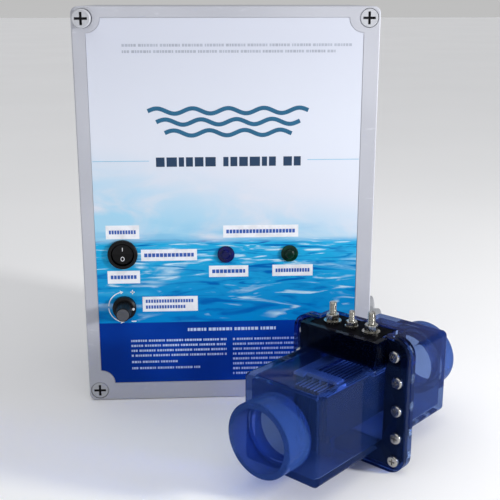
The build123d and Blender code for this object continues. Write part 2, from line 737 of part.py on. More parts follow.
# Each body is a tube behind the panel, closed at the back, with two pins.
with BuildPart() as lamp_bodies:
    for lamp_x in LAMP_X.values():
        lamp_circle(lamp_x, LAMP_BODY_REAR_Y, LAMP_BODY_RADIUS, LAMP_BODY_REAR_Y - PANEL_Y)
        lamp_circle(lamp_x, LAMP_FLOOR_Y, LENS_PLUG_RADIUS, LAMP_FLOOR_Y - PANEL_Y, Mode.SUBTRACT)
    with BuildSketch(facing(LAMP_BODY_REAR_Y + LAMP_PIN_LENGTH)):
        with Locations(*[(x, LAMP_Z) for x in LAMP_X.values()]):
            with GridLocations(LAMP_PIN_PITCH, 0, 2, 1):
                Rectangle(*LAMP_PIN)
    extrude(amount=LAMP_PIN_LENGTH)
save(lamp_bodies, "lamp_bodies")

with BuildPart() as lamp_leds:
    for lamp_x in LAMP_X.values():
        lamp_circle(lamp_x, LAMP_FLOOR_Y, LED_RADIUS, LED_LENGTH)
save(lamp_leds, "lamp_leds")

with BuildPart() as lamp_nuts:
    with BuildSketch(facing(LID_INNER_Y + LAMP_NUT_THICKNESS)):
        with Locations(*[(x, LAMP_Z) for x in LAMP_X.values()]):
            RegularPolygon(LAMP_NUT_HALF, 6, major_radius=False)
            Circle(LAMP_BODY_RADIUS, mode=Mode.SUBTRACT)
    extrude(amount=LAMP_NUT_THICKNESS)
save(lamp_nuts, "lamp_nuts")


# ==== cable glands ==================================================================================
def side_ring(x, y, outer, inner, length):
    """A tube on a gland's axis, from x outwards by length."""
    with BuildSketch(sideways(x, y, GLAND_Z)) as ring:
        Circle(outer)
        Circle(inner, mode=Mode.SUBTRACT)
    extrude(ring.sketch, amount=length)


def side_hex(x, y, width, inner, length):
    """A hexagon on a gland's axis, from x outwards by length."""
    with BuildSketch(sideways(x, y, GLAND_Z)) as hexagon:
        RegularPolygon(width / 2, 6, major_radius=False)
        Circle(inner, mode=Mode.SUBTRACT)
    extrude(hexagon.sketch, amount=length)


GLAND_X = CASE_WIDTH / 2
INSIDE_END_X = GLAND_X - WALL - INSIDE_THREAD
SEAL_START_X = GLAND_X + GLAND_HEX_LENGTH
NUT_START_X = SEAL_START_X + DOME_NUT_GAP
DOME_X = NUT_START_X + DOME_NUT_HEX_LENGTH
DOME_RADIUS = GLAND_THREAD_RADIUS + 1.5

with BuildPart() as gland_bodies:
    for gland_y in GLAND_Y.values():
        side_ring(INSIDE_END_X, gland_y, GLAND_THREAD_RADIUS, GLAND_BORE, GLAND_X - INSIDE_END_X)
        side_hex(GLAND_X, gland_y, GLAND_HEX, GLAND_BORE, GLAND_HEX_LENGTH)
        side_ring(SEAL_START_X, gland_y, GLAND_THREAD_RADIUS, SEAL_RADIUS, OUTSIDE_THREAD)
save(gland_bodies, "gland_bodies")

with BuildPart() as gland_locknuts:
    for gland_y in GLAND_Y.values():
        side_hex(GLAND_X - WALL - LOCKNUT_LENGTH, gland_y, GLAND_HEX, GLAND_THREAD_RADIUS, LOCKNUT_LENGTH)
save(gland_locknuts, "gland_locknuts")

with BuildPart() as gland_seals:
    for gland_y in GLAND_Y.values():
        side_ring(SEAL_START_X, gland_y, SEAL_RADIUS, SEAL_BORE, SEAL_LENGTH)
save(gland_seals, "gland_seals")

with BuildPart() as gland_nuts:
    for gland_y in GLAND_Y.values():
        side_hex(NUT_START_X, gland_y, GLAND_HEX, GLAND_THREAD_RADIUS, DOME_NUT_HEX_LENGTH)
        side_ring(DOME_X, gland_y, DOME_RADIUS, SEAL_RADIUS + 0.2, DOME_STEP)
        side_ring(DOME_X + DOME_STEP, gland_y, DOME_RADIUS, GLAND_BORE, DOME_LENGTH)
    fillet(gland_nuts.edges().filter_by(GeomType.CIRCLE).group_by(Axis.X)[-1], radius=DOME_FILLET)
save(gland_nuts, "gland_nuts")


# ==== circuit parts =================================================================================
with BuildPart() as control_board:
    with BuildSketch(facing(BOARD_REAR_Y)):
        with Locations((BOARD_X, BOARD_Z)):
            RectangleRounded(BOARD_WIDTH, BOARD_HEIGHT, BOARD_CORNER)
            with GridLocations(BOARD_HOLE_X, BOARD_HOLE_Z, 2, 2):
                Circle(M3_RADIUS, mode=Mode.SUBTRACT)
    extrude(amount=BOARD_THICKNESS)
save(control_board, "control_board")

with BuildPart() as board_standoffs:
    with BuildSketch(facing(FLOOR_Y)):
        with Locations((BOARD_X, BOARD_Z)):
            with GridLocations(BOARD_HOLE_X, BOARD_HOLE_Z, 2, 2):
                RegularPolygon(STANDOFF_HALF, 6, major_radius=False)
                Circle(M3_RADIUS, mode=Mode.SUBTRACT)
    extrude(amount=BOARD_STANDOFF)
save(board_standoffs, "board_standoffs")

with BuildPart() as board_screws:
    with BuildSketch(facing(BOARD_FRONT_Y)):
        with Locations((BOARD_X, BOARD_Z)):
            with GridLocations(BOARD_HOLE_X, BOARD_HOLE_Z, 2, 2):
                Circle(M3_HEAD_RADIUS)
    extrude(amount=M3_HEAD_HEIGHT)
    with BuildSketch(facing(BOARD_FRONT_Y + M3_LENGTH)):
        with Locations((BOARD_X, BOARD_Z)):
            with GridLocations(BOARD_HOLE_X, BOARD_HOLE_Z, 2, 2):
                Circle(M3_RADIUS)
    extrude(amount=M3_LENGTH)
save(board_screws, "board_screws")



def on_board(spot):
    """A point of the front plane, given from the middle of the board."""
    return (BOARD_X + spot[0], BOARD_Z + spot[1])


with BuildPart() as polarity_relays:
    with BuildSketch(facing(BOARD_FRONT_Y)):
        with Locations(on_board(RELAY_SPOT)):
            with GridLocations(0, RELAY_PITCH, 1, 2):
                Rectangle(*RELAY_SIZE)
    extrude(amount=RELAY_HEIGHT)
save(polarity_relays, "polarity_relays")

with BuildPart() as capacitors:
    with BuildSketch(facing(BOARD_FRONT_Y)):
        with Locations(on_board(CAPACITOR_SPOT)):
            with GridLocations(CAPACITOR_PITCH, 0, 2, 1):
                Circle(CAPACITOR_RADIUS)
    extrude(amount=CAPACITOR_HEIGHT)
    fillet(capacitors.edges().group_by(Axis.Y)[0], radius=SMALL_RADIUS)
save(capacitors, "capacitors")

with BuildPart() as terminal_blocks:
    with BuildSketch(facing(BOARD_FRONT_Y)):
        with Locations(on_board(TERMINAL_SPOT)):
            with GridLocations(TERMINAL_PITCH, 0, 2, 1):
                Rectangle(*TERMINAL_SIZE)
    extrude(amount=TERMINAL_HEIGHT)
    with BuildSketch(facing(BOARD_FRONT_Y - TERMINAL_HEIGHT)):
        with Locations(on_board(TERMINAL_SPOT)):
            with GridLocations(TERMINAL_PITCH, 0, 2, 1):
                with GridLocations(TERMINAL_SCREW_PITCH, 0, TERMINAL_WAYS, 1):
                    Circle(TERMINAL_SCREW_RADIUS)
    extrude(amount=-TERMINAL_SCREW_DEPTH, mode=Mode.SUBTRACT)
save(terminal_blocks, "terminal_blocks")

FUSE_Y = BOARD_FRONT_Y - FUSE_HEIGHT
FUSE_X, FUSE_Z = on_board(FUSE_SPOT)

with BuildPart() as fuse_clips:
    with BuildSketch(facing(BOARD_FRONT_Y)):
        with Locations((FUSE_X, FUSE_Z)):
            with GridLocations(CLIP_PITCH, 0, 2, 1):
                Rectangle(*CLIP_SIZE)
    extrude(amount=CLIP_HEIGHT)
    with BuildSketch(sideways(FUSE_X, FUSE_Y, FUSE_Z)):
        Circle(FUSE_RADIUS)
    extrude(amount=CLIP_PITCH, both=True, mode=Mode.SUBTRACT)
    with BuildSketch(facing(FUSE_Y)):
        with Locations((FUSE_X, FUSE_Z)):
            Rectangle(2 * CLIP_PITCH, CLIP_MOUTH)
    extrude(amount=CLIP_HEIGHT, mode=Mode.SUBTRACT)
save(fuse_clips, "fuse_clips")

with BuildPart() as glass_fuse:
    with BuildSketch(sideways(FUSE_X, FUSE_Y, FUSE_Z)):
        Circle(FUSE_RADIUS)
    extrude(amount=FUSE_HALF_LENGTH, both=True)
save(glass_fuse, "glass_fuse")

with BuildPart() as heat_sink:
    with BuildSketch(facing(FLOOR_Y)):
        with Locations((SINK_X, SINK_Z)):
            Rectangle(SINK_WIDTH, SINK_HEIGHT)
    extrude(amount=SINK_BASE)
    with BuildSketch(facing(FLOOR_Y - SINK_BASE)):
        for side in (-1, 1):
            with Locations((SINK_X + side * (SINK_WIDTH / 2 - FIN_BANK_INSET), SINK_Z)):
                with GridLocations(FIN_PITCH, 0, FIN_COUNT, 1):
                    Rectangle(FIN_THICKNESS, SINK_HEIGHT)
    extrude(amount=SINK_FIN_HEIGHT)
    with BuildSketch(facing(FLOOR_Y - SINK_BASE)):
        with Locations((SINK_X, SINK_Z)):
            Circle(RECTIFIER_SCREW_RADIUS)
    extrude(amount=-SINK_BASE, mode=Mode.SUBTRACT)
save(heat_sink, "heat_sink")

RECTIFIER_FRONT_Y = FLOOR_Y - SINK_BASE - RECTIFIER_HEIGHT

with BuildPart() as bridge_rectifier:
    with BuildSketch(facing(FLOOR_Y - SINK_BASE)):
        with Locations((SINK_X, SINK_Z)):
            Rectangle(RECTIFIER_SIZE, RECTIFIER_SIZE)
            Circle(RECTIFIER_SCREW_RADIUS, mode=Mode.SUBTRACT)
    extrude(amount=RECTIFIER_HEIGHT)
    with BuildSketch(facing(RECTIFIER_FRONT_Y)):
        with Locations((SINK_X, SINK_Z)):
            with GridLocations(RECTIFIER_PIN_SPACING, RECTIFIER_PIN_SPACING, 2, 2):
                Rectangle(*RECTIFIER_PIN)
    extrude(amount=RECTIFIER_PIN_LENGTH)
save(bridge_rectifier, "bridge_rectifier")

with BuildPart() as rectifier_screw:
    with BuildSketch(facing(RECTIFIER_FRONT_Y)):
        with Locations((SINK_X, SINK_Z)):
            Circle(RECTIFIER_SCREW_HEAD)
    extrude(amount=RECTIFIER_HEAD_HEIGHT)
    with BuildSketch(facing(FLOOR_Y)):
        with Locations((SINK_X, SINK_Z)):
            Circle(RECTIFIER_SCREW_RADIUS)
    extrude(amount=SINK_BASE + RECTIFIER_HEIGHT)
save(rectifier_screw, "rectifier_screw")

# The laminated core is a frame with a middle leg, and the bobbin and its winding fill both windows.
CORE_REAR_Y = FLOOR_Y - CORE_GAP
CORE_MIDDLE_Y = CORE_REAR_Y - CORE_STACK / 2
WINDOW_WIDTH = CORE_LEG
WINDOW_HEIGHT = CORE_HEIGHT - 2 * CORE_LEG
WINDOW_OFFSET = CORE_LEG + WINDOW_WIDTH / 2

with BuildPart() as transformer_core:
    with BuildSketch(facing(CORE_REAR_Y)):
        with Locations((TRANSFORMER_X, TRANSFORMER_Z)):
            Rectangle(CORE_WIDTH, CORE_HEIGHT)
            with GridLocations(2 * WINDOW_OFFSET, 0, 2, 1):
                Rectangle(WINDOW_WIDTH, WINDOW_HEIGHT, mode=Mode.SUBTRACT)
            with GridLocations(CORE_WIDTH - CORE_LEG, CORE_HEIGHT - CORE_LEG, 2, 2):
                Circle(CORE_BOLT_RADIUS, mode=Mode.SUBTRACT)
    extrude(amount=CORE_STACK)
save(transformer_core, "transformer_core")

with BuildPart() as transformer_feet:
    with BuildSketch(facing(FLOOR_Y)):
        with Locations((TRANSFORMER_X, TRANSFORMER_Z)):
            with GridLocations(CORE_WIDTH - CORE_LEG, CORE_HEIGHT - CORE_LEG, 2, 2):
                Circle(CORE_FOOT_RADIUS)
                Circle(CORE_BOLT_RADIUS, mode=Mode.SUBTRACT)
    extrude(amount=CORE_GAP)
save(transformer_feet, "transformer_feet")

with BuildPart() as transformer_bolts:
    with BuildSketch(facing(FLOOR_Y)):
        with Locations((TRANSFORMER_X, TRANSFORMER_Z)):
            with GridLocations(CORE_WIDTH - CORE_LEG, CORE_HEIGHT - CORE_LEG, 2, 2):
                Circle(CORE_BOLT_RADIUS)
    extrude(amount=CORE_GAP + CORE_STACK)
    with BuildSketch(facing(CORE_REAR_Y - CORE_STACK)):
        with Locations((TRANSFORMER_X, TRANSFORMER_Z)):
            with GridLocations(CORE_WIDTH - CORE_LEG, CORE_HEIGHT - CORE_LEG, 2, 2):
                RegularPolygon(CORE_NUT_HALF, 6, major_radius=False)
    extrude(amount=CORE_NUT_HEIGHT)
save(transformer_bolts, "transformer_bolts")



def coil_layer(height, outer, inner):
    """A square tube round the core's middle leg. outer and inner are (x, y) growths from the leg's faces."""
    with BuildSketch(Plane.XY.offset(TRANSFORMER_Z - height / 2)) as layer:
        with Locations((TRANSFORMER_X, CORE_MIDDLE_Y)):
            Rectangle(2 * (CORE_LEG + outer[0]), CORE_STACK + 2 * outer[1])
            Rectangle(2 * (CORE_LEG + inner[0]), CORE_STACK + 2 * inner[1], mode=Mode.SUBTRACT)
    extrude(layer.sketch, amount=height)


BOBBIN_GROWTH = (BOBBIN_WALL, BOBBIN_WALL)
PRIMARY_GROWTH = (PRIMARY_DEPTH, PRIMARY_DEPTH)
SECONDARY_GROWTH = (WINDOW_WIDTH - 1, SECONDARY_DEPTH)
WINDING_HEIGHT = WINDOW_HEIGHT - WINDING_END_GAP

with BuildPart() as transformer_bobbin:
    coil_layer(WINDOW_HEIGHT, BOBBIN_GROWTH, (0, 0))
save(transformer_bobbin, "transformer_bobbin")

with BuildPart() as transformer_primary:
    coil_layer(WINDING_HEIGHT, PRIMARY_GROWTH, BOBBIN_GROWTH)
save(transformer_primary, "transformer_primary")

with BuildPart() as transformer_secondary:
    coil_layer(WINDING_HEIGHT, SECONDARY_GROWTH, PRIMARY_GROWTH)
save(transformer_secondary, "transformer_secondary")


# ==== electrolysis cell =============================================================================
cell_turn = radians(CELL_TURN)
cell = Plane(origin=(CELL_X, CELL_Y, 0), x_dir=(cos(cell_turn), -sin(cell_turn), 0), z_dir=(0, 0, 1))


def across(y):
    """The upright plane across the pipe at station y: it grows towards the cell's front end."""
    return Plane(origin=cell.from_local_coords((0, y, 0)), x_dir=cell.x_dir, z_dir=-cell.y_dir)


def level(z):
    """The horizontal plane of the cell at height z."""
    return cell.offset(z)


def cell_half(side):
    """One moulded half: flange plate, square body, turret and round spigot. side is -1 in front."""
    joint = across(side * SEAL_HALF)
    end = across(side * BODY_END)
    mouth = across(side * (BODY_END + SPIGOT_LENGTH))
    outwards = Axis((0, 0, 0), side * cell.y_dir)
    with BuildPart() as half:
        with BuildSketch(joint):
            with Locations((0, AXIS_Z)):
                RectangleRounded(BODY_WIDTH, BODY_HEIGHT, CELL_WALL)
        extrude(amount=-side * (BODY_END - SEAL_HALF))
        fillet(half.faces().sort_by(outwards)[-1].edges(), radius=CELL_END_FILLET)
        with BuildSketch(end):
            with Locations((0, AXIS_Z)):
                Circle(SPIGOT_RADIUS)
        extrude(amount=-side * SPIGOT_LENGTH)
        fillet(half.faces().sort_by(outwards)[-1].edges(), radius=SPIGOT_FILLET)
        with BuildSketch(joint):
            with Locations((0, (HEAD_LOW + TURRET_TOP) / 2)):
                Rectangle(TURRET_WIDTH, TURRET_TOP - HEAD_LOW)
        extrude(amount=-side * (TURRET_HALF_DEPTH - SEAL_HALF))
        with BuildSketch(joint):
            with Locations((0, FLANGE_TOP / 2)):
                RectangleRounded(FLANGE_SIZE, FLANGE_TOP, FLANGE_CORNER)
        extrude(amount=-side * FLANGE_PLATE)
        with BuildSketch(joint):
            with Locations((0, AXIS_Z)):
                RectangleRounded(
                    BODY_WIDTH - 2 * CELL_WALL, BODY_HEIGHT - 2 * CELL_WALL, CELL_INNER_CORNER
                )
        extrude(amount=-side * (BODY_END - CELL_WALL - SEAL_HALF), mode=Mode.SUBTRACT)
        with BuildSketch(mouth):
            with Locations((0, AXIS_Z)):
                Circle(SPIGOT_BORE)
        extrude(amount=side * (SPIGOT_LENGTH + CELL_WALL), mode=Mode.SUBTRACT)
        with BuildSketch(mouth):
            with Locations((0, AXIS_Z)):
                Circle(SPIGOT_COUNTERBORE)
        extrude(amount=side * SPIGOT_COUNTERBORE_DEPTH, mode=Mode.SUBTRACT)
        with BuildSketch(joint):
            with Locations((0, HEAD_LOW + HEAD_OPENING_HEIGHT / 2)):
                Rectangle(HEAD_WIDTH, HEAD_OPENING_HEIGHT)
        extrude(amount=-side * (HEAD_HALF_DEPTH - SEAL_HALF), mode=Mode.SUBTRACT)
        with BuildSketch(joint):
            flange_screw_circles(FLANGE_HOLE_RADIUS)
        extrude(amount=-side * 2 * FLANGE_PLATE, mode=Mode.SUBTRACT)
    return half


def flange_spots():
    """The flange's ten screw positions, five down each side."""
    return [(side * x, z) for side in (-1, 1) for x, z in FLANGE_SCREW_SPOTS]


def flange_screw_circles(radius, mode=Mode.ADD):
    """A circle on each of the flange's screw positions."""
    with Locations(*flange_spots()):
        Circle(radius, mode=mode)


save(cell_half(-1), "cell_front_half")
save(cell_half(1), "cell_rear_half")

with BuildPart() as cell_gasket:
    with BuildSketch(across(SEAL_HALF)):
        with Locations((0, FLANGE_TOP / 2)):
            RectangleRounded(
                FLANGE_SIZE - 2 * GASKET_INSET, FLANGE_TOP - 2 * GASKET_INSET, FLANGE_CORNER - GASKET_INSET
            )
        with Locations((0, AXIS_Z)):
            Rectangle(BODY_WIDTH - 2 * CELL_WALL, BODY_HEIGHT - 2 * CELL_WALL, mode=Mode.SUBTRACT)
        with Locations((0, HEAD_LOW + HEAD_OPENING_HEIGHT / 2)):
            Rectangle(HEAD_WIDTH, HEAD_OPENING_HEIGHT, mode=Mode.SUBTRACT)
        flange_screw_circles(FLANGE_HOLE_RADIUS, Mode.SUBTRACT)
    extrude(amount=2 * SEAL_HALF)
save(cell_gasket, "cell_gasket")

with BuildPart() as electrode_head:
    with BuildSketch(level(HEAD_LOW)):
        Rectangle(HEAD_WIDTH - 2 * HEAD_GAP, 2 * (HEAD_HALF_DEPTH - HEAD_GAP))
    extrude(amount=HEAD_TOP - HEAD_LOW)
    chamfer(electrode_head.faces().sort_by(Axis.Z)[-1].edges(), length=HEAD_CHAMFER)
    for stud_x, stud_radius in STUDS:
        with BuildSketch(level(HEAD_LOW)):
            with Locations((stud_x, STUD_Y)):
                Circle(stud_radius)
        extrude(amount=HEAD_TOP - HEAD_LOW, mode=Mode.SUBTRACT)
save(electrode_head, "electrode_head")


def plate_group(first, tab_y):
    """Every second plate of the pack from index first, each with a tab up to its collector strip."""
    middle = (PLATE_COUNT - 1) / 2
    spots = [(index - middle) * PLATE_PITCH for index in range(first, PLATE_COUNT, 2)]
    with BuildPart() as plates:
        with BuildSketch(level(PLATE_LOW)):
            with Locations(*[(x, 0) for x in spots]):
                Rectangle(PLATE_THICKNESS, 2 * PLATE_HALF_LENGTH)
        extrude(amount=PLATE_HIGH - PLATE_LOW)
        with BuildSketch(level(PLATE_HIGH)):
            with Locations(*[(x, tab_y) for x in spots]):
                Rectangle(PLATE_THICKNESS, 2 * TAB_HALF_LENGTH)
        extrude(amount=TAB_HIGH - PLATE_HIGH)
    return plates


save(plate_group(0, -TAB_MIDDLE), "electrode_plates_a")
save(plate_group(1, TAB_MIDDLE), "electrode_plates_b")

PACK_HALF_WIDTH = (PLATE_COUNT - 1) / 2 * PLATE_PITCH + PLATE_THICKNESS / 2


# Each strip is an L: across one plate group's tabs, then along to its terminal stud.
with BuildPart() as collector_strips:
    with BuildSketch(level(TAB_HIGH)):
        for side in (-1, 1):
            with Locations((0, side * TAB_MIDDLE)):
                Rectangle(2 * PACK_HALF_WIDTH, STRIP_WIDTH)
            with Locations((side * STUD_SPACING, side * (TAB_MIDDLE + STRIP_WIDTH / 2) / 2)):
                Rectangle(STRIP_WIDTH, TAB_MIDDLE + STRIP_WIDTH / 2 + STRIP_WIDTH)
    extrude(amount=STRIP_THICKNESS)
save(collector_strips, "collector_strips")

COMB_FOOT = BODY_LOW + CELL_WALL

with BuildPart() as plate_combs:
    with BuildSketch(level(COMB_FOOT)):
        with GridLocations(0, 2 * COMB_Y, 1, 2):
            Rectangle(2 * COMB_HALF_WIDTH, COMB_LENGTH)
    extrude(amount=PLATE_LOW + COMB_BITE - COMB_FOOT)
    with BuildSketch(level(PLATE_LOW)):
        with GridLocations(PLATE_PITCH, 2 * COMB_Y, PLATE_COUNT, 2):
            Rectangle(PLATE_THICKNESS, COMB_LENGTH)
    extrude(amount=COMB_BITE, mode=Mode.SUBTRACT)
save(plate_combs, "plate_combs")

# ---- terminals -------------------------------------------------------------------------------------
# Each stud is drawn at its thread's root inside the head and nut, and at full size on its free end.
with BuildPart() as terminal_studs:
    with BuildSketch(level(TAB_HIGH + STRIP_THICKNESS)):
        with Locations((-STUD_SPACING, STUD_Y), (STUD_SPACING, STUD_Y)):
            Circle(STUD_ROOT_RADIUS)
    extrude(amount=STUD_TOP - TAB_HIGH - STRIP_THICKNESS)
    with BuildSketch(level(NUT_BASE_Z + STUD_NUT_HEIGHT + THREAD_GAP)):
        with Locations((-STUD_SPACING, STUD_Y), (STUD_SPACING, STUD_Y)):
            Circle(STUD_RADIUS)
    extrude(amount=STUD_TOP - NUT_BASE_Z - STUD_NUT_HEIGHT - THREAD_GAP)
    chamfer(terminal_studs.edges().group_by(Axis.Z)[-1], length=STUD_CHAMFER)
save(terminal_studs, "terminal_studs")

with BuildPart() as sensor_stud:
    with BuildSketch(level(SENSOR_LOW)):
        with Locations((0, STUD_Y)):
            Circle(SENSOR_ROOT_RADIUS)
    extrude(amount=SENSOR_TOP - SENSOR_LOW)
    with BuildSketch(level(NUT_BASE_Z + SENSOR_NUT_HEIGHT + THREAD_GAP)):
        with Locations((0, STUD_Y)):
            Circle(SENSOR_RADIUS)
    extrude(amount=SENSOR_TOP - NUT_BASE_Z - SENSOR_NUT_HEIGHT - THREAD_GAP)
    chamfer(sensor_stud.edges().group_by(Axis.Z)[-1], length=STUD_CHAMFER)
save(sensor_stud, "sensor_stud")

with BuildPart() as terminal_washers:
    for stud_x, stud_radius in STUDS:
        washer_radius = WASHER_RADIUS if stud_x else SENSOR_WASHER_RADIUS
        with BuildSketch(level(HEAD_TOP)):
            with Locations((stud_x, STUD_Y)):
                Circle(washer_radius)
                Circle(stud_radius, mode=Mode.SUBTRACT)
        extrude(amount=WASHER_THICKNESS)
save(terminal_washers, "terminal_washers")

with BuildPart() as terminal_nuts:
    for stud_x, stud_radius in STUDS:
        nut_half = STUD_NUT_HALF if stud_x else SENSOR_NUT_HALF
        nut_height = STUD_NUT_HEIGHT if stud_x else SENSOR_NUT_HEIGHT
        with BuildSketch(level(NUT_BASE_Z)):
            with Locations((stud_x, STUD_Y)):
                RegularPolygon(nut_half, 6, major_radius=False)
                Circle(stud_radius, mode=Mode.SUBTRACT)
        extrude(amount=nut_height)
save(terminal_nuts, "terminal_nuts")

# ---- flange fasteners ------------------------------------------------------------------------------
with BuildPart() as flange_screws:
    with BuildSketch(across(-FLANGE_FACE)):
        flange_screw_circles(FLANGE_SCREW_HEAD)
    extrude(amount=FLANGE_HEAD_HEIGHT)
    fillet(flange_screws.edges().group_by(Axis((0, 0, 0), -cell.y_dir))[-1], radius=FLANGE_HEAD_FILLET)
    with BuildSketch(across(-FLANGE_FACE)):
        flange_screw_circles(FLANGE_SCREW_RADIUS)
    extrude(amount=-(FLANGE_FACE + FLANGE_SCREW_REACH))
    with BuildSketch(across(-FLANGE_FACE - FLANGE_HEAD_HEIGHT)):
        with Locations(*flange_spots()):
            Rectangle(*RECESS_SIZE)
            Rectangle(*reversed(RECESS_SIZE))
    extrude(amount=-RECESS_DEPTH, mode=Mode.SUBTRACT)
save(flange_screws, "flange_screws")

with BuildPart() as flange_nuts:
    with BuildSketch(across(FLANGE_FACE)):
        with Locations(*flange_spots()):
            RegularPolygon(FLANGE_NUT_HALF, 6, major_radius=False)
            Circle(FLANGE_SCREW_RADIUS, mode=Mode.SUBTRACT)
    extrude(amount=-FLANGE_NUT_HEIGHT)
save(flange_nuts, "flange_nuts")
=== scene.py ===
import json
from math import cos, hypot, pi, radians, sin

import bmesh
import bpy
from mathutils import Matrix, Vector


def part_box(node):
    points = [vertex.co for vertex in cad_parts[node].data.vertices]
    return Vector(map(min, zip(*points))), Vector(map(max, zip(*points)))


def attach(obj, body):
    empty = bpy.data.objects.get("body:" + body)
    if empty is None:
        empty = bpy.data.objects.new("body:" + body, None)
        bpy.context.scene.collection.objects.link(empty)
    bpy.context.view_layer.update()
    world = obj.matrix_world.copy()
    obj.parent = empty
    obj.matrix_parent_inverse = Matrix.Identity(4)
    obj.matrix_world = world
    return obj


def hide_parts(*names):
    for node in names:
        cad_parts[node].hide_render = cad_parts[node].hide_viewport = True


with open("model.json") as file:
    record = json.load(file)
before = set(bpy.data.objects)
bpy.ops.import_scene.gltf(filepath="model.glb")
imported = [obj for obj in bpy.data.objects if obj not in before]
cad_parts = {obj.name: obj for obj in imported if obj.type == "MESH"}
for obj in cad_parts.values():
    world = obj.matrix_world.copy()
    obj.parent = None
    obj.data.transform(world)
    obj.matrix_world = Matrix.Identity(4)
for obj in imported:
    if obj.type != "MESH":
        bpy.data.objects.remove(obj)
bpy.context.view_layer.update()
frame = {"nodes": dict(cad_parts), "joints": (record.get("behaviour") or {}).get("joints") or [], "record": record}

MM = 0.001
NODES = frame["nodes"]
MOUNTS = {mount["name"]: mount for mount in frame["record"]["mounts"]}
UP = Vector((0, 0, 1))
PIPE_AXIS = Vector(MOUNTS["pipe_rear"]["axis"])
CELL_ACROSS = PIPE_AXIS.cross(UP)
CELL_MIDDLE = (Vector(MOUNTS["pipe_front"]["pos_m"]) + Vector(MOUNTS["pipe_rear"]["pos_m"])) / 2


# ---- materials --------------------------------------------------------------------------------------
def rgb(red, green, blue):
    """Linear colour of an 0 to 255 screen colour."""
    return tuple(
        v / 255 / 12.92 if v <= 10 else ((v / 255 + 0.055) / 1.055) ** 2.4 for v in (red, green, blue)
    )


class Look:
    """A Principled material with pattern helpers. Patterns are placed in metres on the resting object."""

    def __init__(self, name, color, roughness, metallic=0.0, **sockets):
        self.material = bpy.data.materials.new(name)
        self.material.use_nodes = True
        self.tree = self.material.node_tree
        self.shader = self.tree.nodes["Principled BSDF"]
        self.color = color
        self.roughness = roughness
        self.set("Base Color", (*color, 1))
        self.set("Roughness", roughness)
        self.set("Metallic", metallic)
        for socket, value in sockets.items():
            self.set(socket.replace("_", " "), value)

    def set(self, socket, value):
        self.shader.inputs[socket].default_value = value

    def node(self, kind, **settings):
        made = self.tree.nodes.new(kind)
        for key, value in settings.items():
            setattr(made, key, value)
        return made

    def plug(self, socket, value):
        """Gives an input a number, a colour or another node's output."""
        if isinstance(value, bpy.types.NodeSocket):
            self.tree.links.new(value, socket)
        else:
            socket.default_value = value

    def place(self):
        return self.node("ShaderNodeTexCoord").outputs["Object"]

    def axis(self, letter):
        split = self.node("ShaderNodeSeparateXYZ")
        self.plug(split.inputs[0], self.place())
        return split.outputs[letter]

    def math(self, operation, a, b=0.0, clamp=False):
        made = self.node("ShaderNodeMath", operation=operation, use_clamp=clamp)
        self.plug(made.inputs[0], a)
        self.plug(made.inputs[1], b)
        return made.outputs[0]

    def vector(self, x, y, z):
        made = self.node("ShaderNodeCombineXYZ")
        for socket, value in zip(made.inputs, (x, y, z)):
            self.plug(socket, value)
        return made.outputs[0]

    def noise(self, scale, detail=2.0, stretch=(1, 1, 1), vector=None, distortion=0.0):
        made = self.node("ShaderNodeTexNoise")
        made.inputs["Scale"].default_value = scale
        made.inputs["Detail"].default_value = detail
        made.inputs["Distortion"].default_value = distortion
        source = vector or self.place()
        if stretch != (1, 1, 1):
            mapping = self.node("ShaderNodeMapping")
            mapping.inputs["Scale"].default_value = stretch
            self.plug(mapping.inputs["Vector"], source)
            source = mapping.outputs[0]
        self.plug(made.inputs["Vector"], source)
        return made.outputs["Fac"]

    def ramp(self, factor, low, high, smooth=True):
        """0 below low, 1 above high."""
        made = self.node("ShaderNodeMapRange", interpolation_type="SMOOTHSTEP" if smooth else "LINEAR")
        self.plug(made.inputs["Value"], factor)
        made.inputs["From Min"].default_value = low
        made.inputs["From Max"].default_value = high
        return made.outputs[0]

    def spread(self, factor, low, high):
        """A 0 to 1 pattern as numbers from low to high."""
        made = self.node("ShaderNodeMapRange")
        self.plug(made.inputs["Value"], factor)
        made.inputs["To Min"].default_value = low
        made.inputs["To Max"].default_value = high
        return made.outputs[0]

    def mix(self, factor, a, b):
        made = self.node("ShaderNodeMix", data_type="RGBA")
        self.plug(made.inputs["Factor"], factor)
        self.plug(made.inputs["A"], a if isinstance(a, bpy.types.NodeSocket) else (*a, 1))
        self.plug(made.inputs["B"], b if isinstance(b, bpy.types.NodeSocket) else (*b, 1))
        return made.outputs["Result"]

    def paint(self, color):
        self.plug(self.shader.inputs["Base Color"], color)
        return self

    def vary(self, amount, scale, detail=3.0, stretch=(1, 1, 1)):
        """Slow colour variation, a little darker and lighter than the base colour."""
        dark = tuple(c * (1 - amount) for c in self.color)
        light = tuple(min(1, c * (1 + amount)) for c in self.color)
        pattern = self.ramp(self.noise(scale, detail, stretch), 0.35, 0.65)
        return self.paint(self.mix(pattern, dark, light))

    def polish(self, low, high, scale, detail=3.0, stretch=(1, 1, 1)):
        """Roughness that wanders between low and high."""
        pattern = self.ramp(self.noise(scale, detail, stretch), 0.3, 0.7)
        self.plug(self.shader.inputs["Roughness"], self.spread(pattern, low, high))
        return self

    def bump(self, height, depth, strength=1.0):
        made = self.node("ShaderNodeBump")
        made.inputs["Strength"].default_value = strength
        made.inputs["Distance"].default_value = depth
        self.plug(made.inputs["Height"], height)
        self.plug(self.shader.inputs["Normal"], made.outputs[0])
        return self

    def grain(self, scale, depth, detail=2.0, stretch=(1, 1, 1), strength=1.0):
        return self.bump(self.noise(scale, detail, stretch), depth, strength)


